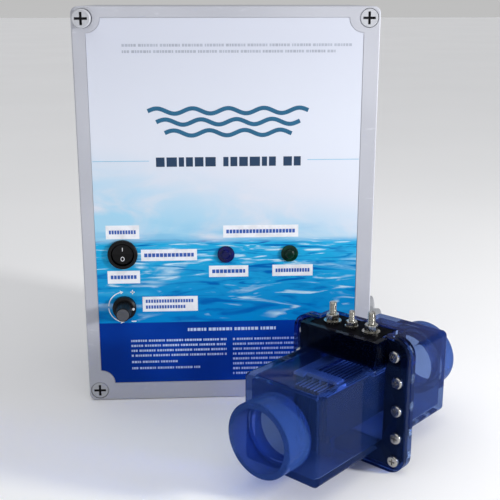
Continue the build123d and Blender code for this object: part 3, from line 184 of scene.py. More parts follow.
def moulded(name, color, roughness, grain_scale=2200, depth=0.02 * MM, amount=0.05, **sockets):
    """Moulded plastic with a fine grain, faint flow marks and uneven gloss."""
    look = Look(name, color, roughness, **sockets)
    look.vary(amount, 28).polish(roughness * 0.8, min(1, roughness * 1.2), 60)
    return look.grain(grain_scale, depth)


def metal(name, color, roughness, stretch=(1, 1, 1), scale=900, amount=0.08):
    """Metal with fine machining or drawing marks."""
    look = Look(name, color, roughness, metallic=1.0)
    look.vary(amount, scale * 0.2, stretch=stretch)
    look.polish(roughness * 0.6, roughness * 1.5, scale, stretch=stretch)
    return look.grain(scale, 0.008 * MM, stretch=stretch)


def ink(name, color, roughness=0.35):
    """Screen-printed ink: a thin film with slightly uneven cover."""
    look = Look(name, color, roughness)
    return look.vary(0.06, 160).polish(roughness * 0.8, roughness * 1.3, 400).grain(1500, 0.006 * MM)


# The lid's grey plastic carries rub marks and a fine spark-eroded grain.
case_look = Look("case_grey", rgb(184, 186, 195), 0.5, Specular_IOR_Level=0.4)
case_scuffs = case_look.ramp(case_look.noise(70, 6, (1, 1, 3)), 0.62, 0.8)
case_shade = case_look.ramp(case_look.noise(9, 2), 0.3, 0.7)
case_tone = case_look.mix(case_shade, rgb(178, 180, 189), rgb(188, 190, 199))
case_look.paint(case_look.mix(case_scuffs, case_tone, rgb(198, 200, 208)))
case_look.polish(0.42, 0.6, 120).grain(1600, 0.03 * MM, detail=3)

# ---- the printed label: sky, clouds, rippled water and a plain dark panel ----
LABEL_TOP_Z = 292 * MM
SKY_FADE_Z = 190 * MM
CLOUD_TOP_Z = 186 * MM
CLOUD_SLOPE = 0.22
HAZE_TOP_Z = 148 * MM
HORIZON_Z = 129 * MM
HORIZON_BLUR = 3 * MM
FOAM_LOW_Z, FOAM_FULL_Z, FOAM_FADE_Z, FOAM_TOP_Z = 72 * MM, 84 * MM, 108 * MM, 122 * MM
PANEL_TOP_Z = 64 * MM
PANEL_BLUR = 0.3 * MM
# Ripples crowd together towards an eye line just above the horizon.
EYE_LINE_Z = HORIZON_Z + 12 * MM
RIPPLE_ROWS, RIPPLE_COLUMNS, RIPPLE_SPREAD = 7.5, 8.5, 0.35
E = 2.718


def label_sky(look, x, z):
    sky = look.mix(look.ramp(z, SKY_FADE_Z, LABEL_TOP_Z), rgb(216, 221, 233), rgb(204, 208, 221))
    cloud_height = look.math("ADD", z, look.math("MULTIPLY", x, CLOUD_SLOPE))
    cloud_fade = look.ramp(cloud_height, CLOUD_TOP_Z, HORIZON_Z)
    clouds = look.ramp(look.noise(17, 5, (1, 1, 2.3), distortion=0.8), 0.3, 0.62)
    sky = look.mix(look.math("MULTIPLY", cloud_fade, clouds), sky, rgb(164, 210, 235))
    near_horizon = look.ramp(z, HAZE_TOP_Z, HORIZON_Z - 4 * MM)
    streaks = look.ramp(look.noise(30, 4, (0.6, 1, 3.5)), 0.4, 0.6)
    haze = look.math("MULTIPLY", near_horizon, streaks)
    return look.mix(look.math("MULTIPLY", haze, 0.55), sky, rgb(70, 172, 219))


def label_water(look, x, z):
    distance = look.math("SUBTRACT", EYE_LINE_Z, z)
    row = look.math("MULTIPLY", look.math("LOGARITHM", distance, E), RIPPLE_ROWS)
    column = look.math("DIVIDE", x, look.math("POWER", distance, RIPPLE_SPREAD))
    place = look.vector(look.math("MULTIPLY", column, RIPPLE_COLUMNS), row, 0.0)
    ripples = look.noise(1.0, 5, vector=place, distortion=1.1)
    swell = look.noise(0.38, 3, vector=place, distortion=0.6)
    water = look.mix(look.ramp(z, PANEL_TOP_Z, HORIZON_Z), rgb(0, 130, 200), rgb(34, 168, 219))
    water = look.mix(look.ramp(ripples, 0.5, 0.3), water, rgb(0, 96, 176))
    water = look.mix(look.ramp(swell, 0.52, 0.74), water, rgb(54, 172, 224))
    glints = look.math("MULTIPLY", look.ramp(ripples, 0.56, 0.68), look.ramp(swell, 0.36, 0.52))
    water = look.mix(glints, water, rgb(196, 228, 243))
    foam_low = look.ramp(z, FOAM_LOW_Z, FOAM_FULL_Z)
    foam_band = look.math("MULTIPLY", foam_low, look.ramp(z, FOAM_TOP_Z, FOAM_FADE_Z))
    foam = look.ramp(look.noise(15, 5, (0.8, 1, 3.4), distortion=0.7), 0.57, 0.68)
    foam = look.math("MULTIPLY", foam, foam_band)
    foam = look.math("MULTIPLY", foam, look.ramp(ripples, 0.38, 0.56))
    return look.mix(look.math("MULTIPLY", foam, 0.7), water, rgb(208, 232, 244))


label_look = Look("label_print", rgb(212, 218, 230), 0.5, Specular_IOR_Level=0.05)
label_x, label_z = label_look.axis("X"), label_look.axis("Z")
at_horizon = label_look.ramp(label_z, HORIZON_Z - HORIZON_BLUR, HORIZON_Z + HORIZON_BLUR)
sky_art, water_art = (draw(label_look, label_x, label_z) for draw in (label_sky, label_water))
art = label_look.mix(at_horizon, water_art, sky_art)
panel_tone = label_look.ramp(label_look.noise(14, 3), 0.35, 0.65)
panel = label_look.mix(panel_tone, rgb(0, 47, 136), rgb(2, 58, 158))
in_panel = label_look.ramp(label_z, PANEL_TOP_Z + PANEL_BLUR, PANEL_TOP_Z - PANEL_BLUR)
label_look.paint(label_look.mix(in_panel, art, panel))
label_look.polish(0.42, 0.58, 90).grain(900, 0.006 * MM)

screw_look = moulded("screw_grey", rgb(182, 184, 190), 0.42, amount=0.06)
# Dark material for the lid screws' slots: painted shade and dirt.
slot_shade_and_dirt_look = moulded("screw_slot_painted_shade_and_dirt", rgb(44, 45, 50), 0.6, amount=0.2, Specular_IOR_Level=0.1)
black_look = moulded("black_plastic", rgb(9, 9, 11), 0.42, amount=0.2, Specular_IOR_Level=0.2)
knob_look = moulded("knob_black", rgb(8, 10, 15), 0.46, amount=0.25, Specular_IOR_Level=0.2)
cap_look = metal("knob_cap_grey", rgb(96, 98, 104), 0.42, stretch=(1, 1, 14))
rubber_look = moulded("seal_rubber", rgb(24, 24, 26), 0.7, grain_scale=1200, depth=0.04 * MM, amount=0.2)
gland_look = moulded("gland_grey", rgb(148, 150, 154), 0.5)
steel_look = metal("stainless", rgb(176, 174, 168), 0.2, scale=1400)
zinc_look = metal("zinc_steel", rgb(196, 196, 186), 0.38)
brass_look = metal("contact_brass", rgb(205, 170, 96), 0.32)
aluminium_look = metal("sink_aluminium", rgb(196, 198, 202), 0.4, stretch=(1, 1, 0.05))
relay_look = moulded("relay_black", rgb(28, 28, 32), 0.3, amount=0.15)
terminal_look = moulded("terminal_green", rgb(26, 130, 66), 0.42)
bobbin_look = moulded("bobbin_plastic", rgb(206, 200, 180), 0.5)
led_look = moulded("led_clear", rgb(225, 226, 228), 0.12, Transmission_Weight=0.7)
fuse_look = moulded("fuse_glass", rgb(226, 232, 232), 0.05, Transmission_Weight=0.8)
white_ink = ink("print_white", rgb(232, 234, 240))
blue_ink = ink("print_blue", rgb(28, 82, 170))
navy_ink = ink("print_navy", rgb(12, 50, 84))
teal_ink = ink("print_teal", rgb(20, 92, 128))
sky_ink = ink("print_sky", rgb(118, 182, 214))
grey_ink = ink("print_grey", rgb(168, 174, 188))
pale_ink = ink("print_pale", rgb(176, 194, 226))

board_look = Look("board_green", rgb(18, 92, 50), 0.35)
board_tracks = board_look.node("ShaderNodeTexVoronoi", feature="F1", distance="CHEBYCHEV")
board_tracks.inputs["Scale"].default_value = 260
board_look.plug(board_tracks.inputs["Vector"], board_look.place())
board_edges = board_look.ramp(board_tracks.outputs["Distance"], 0.28, 0.34)
board_look.paint(board_look.mix(board_edges, rgb(18, 92, 50), rgb(30, 120, 66))).polish(0.28, 0.42, 200)
board_look.bump(board_edges, 0.02 * MM)

sleeve_look = Look("capacitor_sleeve", rgb(26, 34, 60), 0.3)
sleeve_look.vary(0.2, 40).polish(0.24, 0.4, 150).grain(500, 0.02 * MM)

core_look = Look("core_steel", rgb(64, 62, 62), 0.45, metallic=0.6)
laminations = core_look.math("SINE", core_look.math("MULTIPLY", core_look.axis("Y"), 2 * pi / (0.5 * MM)))
core_look.vary(0.25, 60).polish(0.35, 0.6, 200).bump(laminations, 0.03 * MM)

copper_look = Look("winding_copper", rgb(164, 84, 40), 0.3, metallic=0.9)
turns = copper_look.math("SINE", copper_look.math("MULTIPLY", copper_look.axis("Z"), 2 * pi / (0.8 * MM)))
copper_look.vary(0.15, 300).polish(0.2, 0.4, 400).bump(turns, 0.12 * MM)

tape_look = Look("winding_tape", rgb(206, 176, 60), 0.32)
wraps = tape_look.math("SINE", tape_look.math("MULTIPLY", tape_look.axis("Z"), 2 * pi / (9 * MM)))
tape_look.vary(0.1, 80).polish(0.24, 0.4, 120).bump(tape_look.ramp(wraps, -0.1, 0.1), 0.08 * MM)


def lens_look(name, dark, bright):
    """A tinted lamp lens: deep colour, slightly cloudy."""
    look = Look(name, dark, 0.16, Coat_Weight=0.12, Coat_Roughness=0.08, Specular_IOR_Level=0.2)
    pattern = look.ramp(look.noise(150, 2), 0.35, 0.8)
    look.paint(look.mix(pattern, dark, bright)).polish(0.1, 0.22, 300)
    return look.grain(700, 0.015 * MM)


blue_lens_look = lens_look("lens_blue", rgb(0, 5, 62), rgb(2, 14, 104))
green_lens_look = lens_look("lens_green", rgb(3, 34, 26), rgb(8, 62, 44))


PIPE_FROM, PIPE_FULL = 74 * MM, 77 * MM  # distance along the axis from the middle of the cell
TURRET_FROM, TURRET_FULL = 75.5 * MM, 77 * MM  # height
HAZE, PIPE_HAZE, TURRET_CLEARING = 0.11, 0.42, 0.1
SHADOW_TINT = (0.25, 0.33, 0.6, 1)


def cell_haze(look):
    """Share of haze: more in the thick pipe ends and less in the turret over the black head."""
    along_x = look.math("MULTIPLY", look.axis("X"), PIPE_AXIS.x)
    along = look.math("ADD", along_x, look.math("MULTIPLY", look.axis("Y"), PIPE_AXIS.y))
    along = look.math("ABSOLUTE", look.math("SUBTRACT", along, CELL_MIDDLE.dot(PIPE_AXIS)))
    in_pipe = look.math("MULTIPLY", look.ramp(along, PIPE_FROM, PIPE_FULL), PIPE_HAZE)
    in_turret = look.math("MULTIPLY", look.ramp(look.axis("Z"), TURRET_FROM, TURRET_FULL), TURRET_CLEARING)
    return look.math("SUBTRACT", look.math("ADD", HAZE, in_pipe), in_turret)


def tinted_clear(name, tint, body, gloss):
    """Clear tinted plastic. Lamps shine in through it, and a little of its own colour lies in it."""
    look = Look(name, tint, gloss, Transmission_Weight=1.0, IOR=1.13)
    look.set("Specular Tint", (0.3, 0.5, 1.0, 1))
    cloudy = look.ramp(look.noise(24, 5), 0.3, 0.7)
    look.paint(look.mix(cloudy, tuple(c * 0.9 for c in tint), tint))
    look.polish(gloss * 0.7, gloss * 1.5, 60, detail=4).grain(140, 0.05 * MM, detail=4, strength=0.2)
    haze = look.node("ShaderNodeBsdfDiffuse")
    haze.inputs["Color"].default_value = (*body, 1)
    clear = look.node("ShaderNodeBsdfTransparent")
    clear.inputs["Color"].default_value = SHADOW_TINT
    light_path = look.node("ShaderNodeLightPath")
    hazy, lit = look.node("ShaderNodeMixShader"), look.node("ShaderNodeMixShader")
    look.plug(hazy.inputs[0], cell_haze(look))
    look.plug(hazy.inputs[1], look.shader.outputs[0])
    look.plug(hazy.inputs[2], haze.outputs[0])
    look.plug(lit.inputs[0], light_path.outputs["Is Shadow Ray"])
    look.plug(lit.inputs[1], hazy.outputs[0])
    look.plug(lit.inputs[2], clear.outputs[0])
    look.plug(look.tree.nodes["Material Output"].inputs["Surface"], lit.outputs[0])
    return look


cell_look = tinted_clear("cell_blue", (0.17, 0.26, 0.52), (0.035, 0.085, 0.30), 0.06)

head_look = Look("head_black", rgb(2, 2, 8), 0.6, Specular_IOR_Level=0.02)
head_look.vary(0.3, 50).polish(0.5, 0.7, 90).grain(300, 0.03 * MM)

# The plates are dark on their faces. A painted highlight makes their top edges nearly white, standing for light
# caught there.
PLATE_HIGHLIGHT_FROM_Z, PLATE_HIGHLIGHT_FULL_Z = 60.6 * MM, 61.2 * MM
plate_look = Look("coated_titanium", rgb(40, 42, 52), 0.6, Specular_IOR_Level=0.3)
plate_top_painted_highlight = plate_look.ramp(plate_look.axis("Z"), PLATE_HIGHLIGHT_FROM_Z, PLATE_HIGHLIGHT_FULL_Z)
coating = plate_look.ramp(plate_look.noise(180, 5), 0.35, 0.65)
plate_face = plate_look.mix(coating, rgb(20, 22, 30), rgb(34, 36, 46))
plate_look.paint(plate_look.mix(plate_top_painted_highlight, plate_face, rgb(225, 228, 235)))
plate_look.polish(0.5, 0.7, 300).grain(700, 0.05 * MM, detail=4)
comb_look = moulded("comb_plastic", rgb(30, 36, 64), 0.4)

SLOT_LOOKS = {
    "case_grey": case_look,
    "screw_grey": screw_look,
    "label_print": label_look,
    "black_plastic": black_look,
    "cap_grey": cap_look,
    "white_print": white_ink,
    "seal_rubber": rubber_look,
    "lens_blue": blue_lens_look,
    "lens_green": green_lens_look,
    "led_clear": led_look,
    "gland_grey": gland_look,
    "board_green": board_look,
    "zinc_steel": zinc_look,
    "relay_black": relay_look,
    "capacitor_sleeve": sleeve_look,
    "terminal_green": terminal_look,
    "contact_brass": brass_look,
    "fuse_glass": fuse_look,
    "sink_aluminium": aluminium_look,
    "core_steel": core_look,
    "bobbin_plastic": bobbin_look,
    "winding_copper": copper_look,
    "winding_tape": tape_look,
    "cell_blue": cell_look,
    "head_black": head_look,
    "stainless": steel_look,
    "coated_titanium": plate_look,
    "comb_plastic": comb_look,
}
NODE_LOOKS = {"knob": knob_look}
for part in frame["record"]["subparts"]:
    name, slot = part["node"], part["material_slot"]
    node = NODES[name]
    look = NODE_LOOKS.get(name, SLOT_LOOKS[slot])
    node.data.materials.clear()
    node.data.materials.append(look.material)

SLOT_REACH, SLOT_SKIN, SLOT_DEPTH = 4.6 * MM, 0.3 * MM, 3.0 * MM


def darken_slots(name):
    """The walls and floor of the crossed slots in a lid screw's head get a dark material: painted shade and dirt.
    """
    low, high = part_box(name)
    mesh = NODES[name].data
    mesh.materials.append(slot_shade_and_dirt_look.material)
    for face in mesh.polygons:
        spot = NODES[name].matrix_world @ face.center
        reach = hypot(spot.x - (low.x + high.x) / 2, spot.z - (low.z + high.z) / 2)
        if reach < SLOT_REACH and SLOT_SKIN < spot.y - low.y < SLOT_DEPTH:
            face.material_index = 1


for corner in ("top_left", "top_right", "bottom_left", "bottom_right"):
    darken_slots("lid_screw_" + corner)


# ---- mesh helpers -----------------------------------------------------------------------------------
def finish_mesh(bm, name, look, body, replaced=(), smooth=False):
    """Turns a bmesh into a piece that rides on a body."""
    bmesh.ops.recalc_face_normals(bm, faces=bm.faces)
    mesh = bpy.data.meshes.new(name)
    bm.to_mesh(mesh)
    bm.free()
    mesh.materials.append(look.material)
    if smooth:
        mesh.polygons.foreach_set("use_smooth", [True] * len(mesh.polygons))
        mesh.set_sharp_from_angle(angle=radians(35))
    piece = bpy.data.objects.new(name, mesh)
    bpy.context.scene.collection.objects.link(piece)
    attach(piece, body)
    if replaced:
        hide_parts(*replaced)
    return piece


def prism(bm, outline, place, depth):
    """A thin closed plate. place turns (u, v, w) into a point. w runs from 0 in front to depth behind."""
    front = [bm.verts.new(place(u, v, 0.0)) for u, v in outline]
    back = [bm.verts.new(place(u, v, depth)) for u, v in outline]
    bm.faces.new(front)
    bm.faces.new(reversed(back))
    for i in range(len(outline)):
        j = (i + 1) % len(outline)
        bm.faces.new((front[j], front[i], back[i], back[j]))


def ribbon(bm, line, width, place, depth):
    """A closed flat band of the given width along a line of points."""
    left, right = [], []
    for i, (u, v) in enumerate(line):
        before, after = line[max(i - 1, 0)], line[min(i + 1, len(line) - 1)]
        du, dv = after[0] - before[0], after[1] - before[1]
        length = hypot(du, dv)
        nu, nv = -dv / length * width / 2, du / length * width / 2
        left.append((u + nu, v + nv))
        right.append((u - nu, v - nv))
    rows = [
        [bm.verts.new(place(u, v, w)) for w in (0.0, depth) for u, v in pair] for pair in zip(left, right)
    ]
    for a, b in zip(rows, rows[1:]):
        for i, j in ((0, 1), (1, 3), (3, 2), (2, 0)):
            bm.faces.new((a[i], a[j], b[j], b[i]))
    for end in (rows[0], rows[-1]):
        bm.faces.new((end[0], end[1], end[3], end[2]))


def box_outline(u0, u1, v0, v1):
    return [(u0, v0), (u1, v0), (u1, v1), (u0, v1)]


# ---- printing on the label ----------------------------------------------------------------------------
LABEL_FRONT_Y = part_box("front_label")[0].y
PRINT_PROUD = 0.05 * MM
CASE_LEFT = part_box("enclosure_base")[0].x


def on_label(u, v, w):
    """A point of the print: u and v are mm from the case's bottom left corner, w is depth."""
    return (CASE_LEFT + u * MM, LABEL_FRONT_Y - PRINT_PROUD + w, v * MM)


def printed(name, look, draw):
    bm = bmesh.new()
    draw(bm)
    return finish_mesh(bm, name, look, "lid")


def block_words(bm, left, right, base, height, seed, gap=0.28, word=7):
    """A row of plain blocks that stands for a line of small print. It spells nothing."""
    u, count = left, seed
    while u < right - 0.4 * height:
        share = 0.55 + 0.18 * ((count * 5 + seed) % 4)
        end = min(u + height * share, right)
        prism(bm, box_outline(u, end, base, base + height), on_label, PRINT_PROUD)
        count += 1
        u = end + height * (gap if (count + seed) % word else 0.8)


PLATES = {  # left, right, low, high, rows of print
    "switch_on": (18, 43, 131, 141.5, 1),
    "switch_off": (18, 42.5, 96, 106, 1),
    "switch": (43.8, 86, 113.5, 122.5, 1),
    "dial": (43.8, 86, 73, 85, 2),
    "lamps": (106, 163, 131, 140.5, 1),
    "lamp_1": (95, 125, 100, 109, 1),
    "lamp_2": (143.5, 174.5, 100, 109, 1),
}


def draw_plates(bm):
    for left, right, low, high, _ in PLATES.values():
        prism(bm, box_outline(left, right, low, high), on_label, PRINT_PROUD)


def on_plate(u, v, w):
    return (CASE_LEFT + u * MM, LABEL_FRONT_Y - 2 * PRINT_PROUD + w, v * MM)


CAPTION_INSET = 2.4
CAPTION_HEIGHTS = {1: 2.9, 2: 2.6}  # rows on the plate: height of a row
CAPTION_ROW_AIR = 0.55  # height left over, as a share of a row's pitch
CAPTION_BLOCK, CAPTION_BLOCK_STEP, CAPTION_BLOCK_GAP = 1.5, 0.45, 0.55
SHORTEST_CAPTION_BLOCK = 1.2
LAST_ROW_SHORTER = 6


def draw_plate_words(bm):
    for number, (left, right, low, high, rows) in enumerate(PLATES.values()):
        height = CAPTION_HEIGHTS[rows]
        pitch = (high - low) / (rows + CAPTION_ROW_AIR)
        for row in range(rows):
            base = (low + high) / 2 - height / 2 + ((rows - 1) / 2 - row) * pitch
            end = right - CAPTION_INSET - LAST_ROW_SHORTER * row
            u, count = left + CAPTION_INSET, number
            while u < end - SHORTEST_CAPTION_BLOCK:
                stop = min(u + CAPTION_BLOCK + CAPTION_BLOCK_STEP * ((count * 3 + number) % 3), end)
                prism(bm, box_outline(u, stop, base, base + height), on_plate, PRINT_PROUD)
                count += 1
                u = stop + CAPTION_BLOCK_GAP


WAVES = 3
WAVE_LEFT, WAVE_RIGHT, WAVE_INSET = 52, 169, 6
WAVE_TOP, WAVE_PITCH = 226.5, 8.0
WAVE_RISE, WAVE_LENGTH, WAVE_WIDTH, WAVE_STEPS = 1.9, 26, 3.1, 90


def wave_line(left, right, base):
    points = []
    for k in range(WAVE_STEPS + 1):
        along = (right - left) * k / WAVE_STEPS
        points.append((left + along, base + WAVE_RISE * sin(2 * pi * along / WAVE_LENGTH)))
    return points


def draw_waves(bm):
    for row in range(WAVES):
        inset = WAVE_INSET * row
        line = wave_line(WAVE_LEFT + inset, WAVE_RIGHT - inset, WAVE_TOP - WAVE_PITCH * row)
        ribbon(bm, line, WAVE_WIDTH, on_label, PRINT_PROUD)


def draw_subtitle(bm):
    block_words(bm, 57, 164, 185.6, 7.0, 3, gap=0.2, word=6)


RULES = ((10.6, 52), (169, 207.4))
RULE_HEIGHT, RULE_WIDTH = 190, 0.45


def draw_rules(bm):
    for left, right in RULES:
        ribbon(bm, [(left, RULE_HEIGHT), (right, RULE_HEIGHT)], RULE_WIDTH, on_label, PRINT_PROUD)


def draw_top_lines(bm):
    block_words(bm, 35, 200, 272.2, 1.9, 1)
    block_words(bm, 35, 188, 267.8, 1.9, 2)


PANEL_ROW_TOP, PANEL_ROW_PITCH, PANEL_ROW_HEIGHT = 48.2, 4.1, 1.7
LEFT_ROWS, RIGHT_ROWS = 4, 8


def draw_panel_words(bm):
    block_words(bm, 78, 148, 56.4, 2.4, 4)
    for row in range(LEFT_ROWS):
        block_words(bm, 34, 108, PANEL_ROW_TOP - PANEL_ROW_PITCH * row, PANEL_ROW_HEIGHT, row)
    block_words(bm, 34, 70, 30.6, PANEL_ROW_HEIGHT, 5)
    block_words(bm, 34, 88, 25.4, PANEL_ROW_HEIGHT, 2)
    for row in range(RIGHT_ROWS):
        block_words(bm, 113, 196, PANEL_ROW_TOP - PANEL_ROW_PITCH * row, PANEL_ROW_HEIGHT, row + 3)


printed("label_caption_plates", white_ink, draw_plates)
printed("label_caption_marks", blue_ink, draw_plate_words)
printed("label_waves", teal_ink, draw_waves)
printed("label_subtitle_marks", navy_ink, draw_subtitle)
printed("label_rules", sky_ink, draw_rules)
printed("label_top_marks", grey_ink, draw_top_lines)
printed("label_panel_marks", pale_ink, draw_panel_words)

knob_low, knob_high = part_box("knob")
DIAL_U = ((knob_low.x + knob_high.x) / 2 - CASE_LEFT) / MM
DIAL_V = (knob_low.z + knob_high.z) / 2 / MM
DIAL_RADIUS = 12.2
DIAL_ARCS = ((176, 104), (184, 256))  # degrees from start to arrow head
ARC_STEPS, ARC_WIDTH, ARROW_HALF, ARROW_SWEEP = 24, 0.7, 1.5, 11
DIAL_SIGNS = ((62, ((3.4, 0.8), (0.8, 3.4))), (-60, ((3.6, 0.8),)))  # degrees, bars as (width, height)
SIGN_RADIUS = DIAL_RADIUS + 1.3


def dial_point(angle, radius=DIAL_RADIUS):
    return (DIAL_U + radius * cos(radians(angle)), DIAL_V + radius * sin(radians(angle)))


def draw_dial(bm):
    """Two arc arrows round the knob, with a plus and a minus at their tips."""
    for start, end in DIAL_ARCS:
        arc = [dial_point(start + (end - start) * k / ARC_STEPS) for k in range(ARC_STEPS + 1)]
        ribbon(bm, arc, ARC_WIDTH, on_label, PRINT_PROUD)
        tip = dial_point(end + ARROW_SWEEP * (1 if end > start else -1))
        outer, inner = (dial_point(end, DIAL_RADIUS + side) for side in (ARROW_HALF, -ARROW_HALF))
        prism(bm, [outer, inner, tip], on_label, PRINT_PROUD)
    for angle, bars in DIAL_SIGNS:
        u, v = dial_point(angle, SIGN_RADIUS)
        for wide, tall in bars:
            outline = box_outline(u - wide / 2, u + wide / 2, v - tall / 2, v + tall / 2)
            prism(bm, outline, on_label, PRINT_PROUD)


printed("label_dial_marks", white_ink, draw_dial)

# ---- rocker marks -------------------------------------------------------------------------------------
ROCKER_TILT = radians(10)
ROCKER_CROWN, ROCKER_VEE, ROCKER_RADIUS = 3.1, 1.3, 8.4
ON_FOOT, ON_TOP, ON_WIDTH = 2.2, 5.0, 0.42
OFF_MIDDLE, OFF_WIDE, OFF_TALL, OFF_WIDTH, OFF_STEPS = -3.6, 1.25, 1.5, 0.38, 32
rocker_joint = next(j for j in frame["joints"] if j["name"] == "rocker_tilt")
rocker_pivot = Vector(rocker_joint["pos_m"])


def on_rocker(u, v, w):
    """A point on the paddle's vee-shaped front: u is +X and v is up along the paddle, in mm."""
    out = (ROCKER_CROWN + ROCKER_VEE * abs(v) / ROCKER_RADIUS) * MM + PRINT_PROUD - w
    up = Vector((0, sin(ROCKER_TILT), cos(ROCKER_TILT)))
    front = Vector((0, -cos(ROCKER_TILT), sin(ROCKER_TILT)))
    return rocker_pivot + Vector((u * MM, 0, 0)) + up * v * MM + front * out


bm = bmesh.new()
ribbon(bm, [(0, ON_FOOT), (0, ON_TOP)], ON_WIDTH, on_rocker, PRINT_PROUD)
turns = [2 * pi * k / OFF_STEPS for k in range(OFF_STEPS + 1)]
ring = [(OFF_WIDE * cos(turn), OFF_MIDDLE + OFF_TALL * sin(turn)) for turn in turns]
ribbon(bm, ring, OFF_WIDTH, on_rocker, PRINT_PROUD)
finish_mesh(bm, "rocker_marks", white_ink, "rocker")


# ---- threads, nuts ------------------------------------------------------------------------------------
ROUND_COUNT = 48
THREAD_STEPS = 8  # rows per turn of thread
TIP_CHAMFER, TIP_SHARE = 0.6 * MM, 0.82
CREST_WIDENING = 1.15
NUT_LEVELS = (0, 0.08, 0.16, 0.25, 0.5, 0.75, 0.84, 0.92, 1)  # heights as shares
NUT_FACE, NUT_CHAMFER_SLOPE = 0.985, 1.75
BORE_FLARE, BORE_FLARE_DEPTH = 1.1, 0.1


def tube_mesh(bm, rows, base, axis, across):
    """The side of a turned solid. rows is a list of (height, radius as a function of angle)."""
    up = Vector(axis).normalized()
    side = Vector(across).normalized()
    other = up.cross(side)
    count = ROUND_COUNT
    rings = []
    for height, radius in rows:
        ring = []
        for k in range(count):
            angle = 2 * pi * k / count
            r = radius(angle)
            ring.append(bm.verts.new(base + up * height + (side * cos(angle) + other * sin(angle)) * r))
        rings.append(ring)
    for a, b in zip(rings, rings[1:]):
        for k in range(count):
            j = (k + 1) % count
            bm.faces.new((a[k], a[j], b[j], b[k]))
    return rings


def threaded_rod(bm, base, axis, across, plain, length, radius, root, pitch):
    """A stud: plain at its root size, then threaded, with a chamfered tip."""
    rows = [(0.0, lambda angle: root), (plain, lambda angle: root)]
    steps = int((length - plain) / (pitch / THREAD_STEPS))
    for k in range(1, steps + 1):
        height = plain + (length - plain) * k / steps
        tip = min(1.0, (length - height) / TIP_CHAMFER)

        def thread(angle, height=height, tip=tip):
            turn = (height / pitch - angle / (2 * pi)) % 1.0
            crest = min(1.0, (1 - abs(2 * turn - 1)) * CREST_WIDENING)
            return (root + (radius - root) * crest) * (TIP_SHARE + (1 - TIP_SHARE) * tip)

        rows.append((height, thread))
    rings = tube_mesh(bm, rows, base, axis, across)
    bm.faces.new(reversed(rings[0]))
    bm.faces.new(rings[-1])


def hex_nut(bm, base, axis, across, half, height, bore):
    """A hexagon nut with both ends chamfered and a plain bore flared at its mouths."""

    def outside(level):
        end = min(level, height - level)

        def radius(angle):
            flat = half / cos((angle % (pi / 3)) - pi / 6)
            return min(flat, half * NUT_FACE + end * NUT_CHAMFER_SLOPE)

        return radius

    outer = tube_mesh(bm, [(height * t, outside(height * t)) for t in NUT_LEVELS], base, axis, across)
    mouth, flare = bore * BORE_FLARE, height * BORE_FLARE_DEPTH
    inner_rows = [(0.0, mouth), (flare, bore), (height - flare, bore), (height, mouth)]
    inner = tube_mesh(bm, [(h, lambda angle, r=r: r) for h, r in inner_rows], base, axis, across)
    for a, b in ((outer[0], inner[0]), (inner[-1], outer[-1])):
        for k in range(len(a)):
            j = (k + 1) % len(a)
            bm.faces.new((a[j], a[k], b[k], b[j]))


strip_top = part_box("collector_strips")[1].z
head_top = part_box("electrode_head")[1].z
WASHER = 1.2 * MM
NUT_TURN = 0.4  # each nut stops at its own angle, in radians
NUT_BORE = 0.92  # share of the stud's radius, so the thread fills the bore
stud_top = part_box("terminal_studs")[1].z
sensor_low, sensor_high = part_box("sensor_stud")
# outer radius, root radius, pitch, nut half width, nut height
M5 = (2.5 * MM, 2.08 * MM, 0.8 * MM, 4 * MM, 4.7 * MM)
M4 = (2.0 * MM, 1.65 * MM, 0.7 * MM, 3.5 * MM, 3.2 * MM)
TERMINALS = {  # mount name: foot height, tip height, thread and nut sizes
    "terminal_a": (strip_top, stud_top, *M5),
    "sensor_terminal": (sensor_low.z, sensor_high.z, *M4),
    "terminal_b": (strip_top, stud_top, *M5),
}
studs, sensor, nuts = bmesh.new(), bmesh.new(), bmesh.new()
for turn, (mount, (foot, tip, radius, root, pitch, half, tall)) in enumerate(TERMINALS.items()):
    centre = Vector(MOUNTS[mount]["pos_m"])
    centre.z = foot
    target = sensor if mount == "sensor_terminal" else studs
    threaded_rod(target, centre, UP, CELL_ACROSS, head_top - foot, tip - foot, radius, root, pitch)
    centre.z = head_top + WASHER
    spin = CELL_ACROSS * cos(NUT_TURN * turn) + PIPE_AXIS * sin(NUT_TURN * turn)
    hex_nut(nuts, centre, UP, spin, half, tall, radius * NUT_BORE)
finish_mesh(studs, "stud_threads", steel_look, "root", ["terminal_studs"], smooth=True)
finish_mesh(sensor, "sensor_threads", steel_look, "root", ["sensor_stud"], smooth=True)
finish_mesh(nuts, "terminal_hex_nuts", steel_look, "root", ["terminal_nuts"], smooth=True)

# ---- floor, lights, camera ----------------------------------------------------------------------------
FLOOR_GAP = 0.3 * MM
FLOOR_REACH = 14
floor_look = Look("floor", rgb(250, 250, 251), 0.75)
floor_look.vary(0.01, 2).grain(300, 0.02 * MM)
bm = bmesh.new()
bmesh.ops.create_grid(bm, x_segments=8, y_segments=8, size=FLOOR_REACH)
floor_mesh = bpy.data.meshes.new("floor")
bm.to_mesh(floor_mesh)
bm.free()
floor_mesh.materials.append(floor_look.material)
ground = bpy.data.objects.new("floor", floor_mesh)
ground.location.z = -FLOOR_GAP
bpy.context.scene.collection.objects.link(ground)

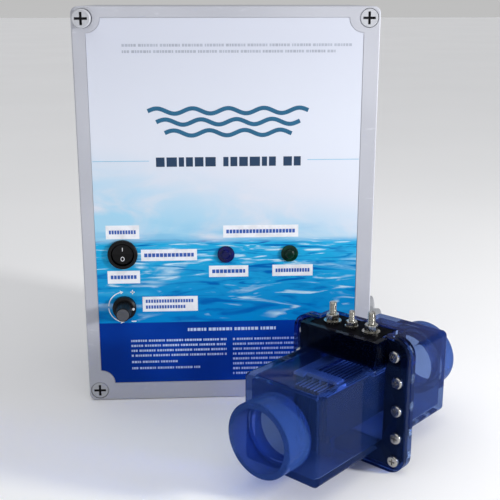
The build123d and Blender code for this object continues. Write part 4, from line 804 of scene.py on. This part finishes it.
world = bpy.data.worlds.new("studio")
bpy.context.scene.world = world
world.use_nodes = True
sky_shader = world.node_tree.nodes["Background"]
sky_place = world.node_tree.nodes.new("ShaderNodeTexCoord")
sky_split = world.node_tree.nodes.new("ShaderNodeSeparateXYZ")
sky_ramp = world.node_tree.nodes.new("ShaderNodeValToRGB")
world.node_tree.links.new(sky_place.outputs["Generated"], sky_split.inputs[0])
world.node_tree.links.new(sky_split.outputs["Z"], sky_ramp.inputs[0])
world.node_tree.links.new(sky_ramp.outputs[0], sky_shader.inputs["Color"])
sky_ramp.color_ramp.elements[0].position = 0.05
sky_ramp.color_ramp.elements[0].color = (1.0, 1.0, 1.0, 1)
sky_ramp.color_ramp.elements[1].position = 0.8
sky_ramp.color_ramp.elements[1].color = (0.55, 0.56, 0.58, 1)
sky_shader.inputs["Strength"].default_value = 0.52


# The key lamp rakes across the label from the right, just over the cell.
KEY_PLACE, KEY_TARGET = (1.15, -0.62, 0.42), (-0.05, -0.06, 0.1)
KEY_SIZE, KEY_POWER = (0.16, 0.16), 15.5
OVERHEAD_ENERGY, OVERHEAD_SOFTNESS = 1.0, radians(70)
OVERHEAD_TILT = (radians(12), radians(-8), 0)
CAMERA_PLACE = (-20.7 * MM, -717.6 * MM, 305.8 * MM)
CAMERA_DOWN, CAMERA_ASIDE = radians(15.67), radians(-3.22)
CAMERA_LENS, CAMERA_SENSOR = 64.8, 36


def area_light(name, place, target, size, power):
    data = bpy.data.lights.new(name, "AREA")
    data.shape = "RECTANGLE"
    data.size, data.size_y = size
    data.energy = power
    lamp = bpy.data.objects.new(name, data)
    lamp.location = place
    lamp.rotation_mode = "QUATERNION"
    lamp.rotation_quaternion = (Vector(target) - Vector(place)).to_track_quat("-Z", "Y")
    bpy.context.scene.collection.objects.link(lamp)


area_light("key", KEY_PLACE, KEY_TARGET, KEY_SIZE, KEY_POWER)
sun_data = bpy.data.lights.new("overhead", "SUN")
sun_data.energy = OVERHEAD_ENERGY
sun_data.angle = OVERHEAD_SOFTNESS
sun = bpy.data.objects.new("overhead", sun_data)
sun.rotation_euler = OVERHEAD_TILT
bpy.context.scene.collection.objects.link(sun)

camera_data = bpy.data.cameras.new("camera")
camera_data.sensor_width = CAMERA_SENSOR
camera_data.lens = CAMERA_LENS
camera = bpy.data.objects.new("camera", camera_data)
camera.location = CAMERA_PLACE
camera.rotation_euler = (pi / 2 - CAMERA_DOWN, 0, CAMERA_ASIDE)
bpy.context.scene.collection.objects.link(camera)
bpy.context.scene.camera = camera
bpy.context.scene.view_settings.view_transform = "Standard"
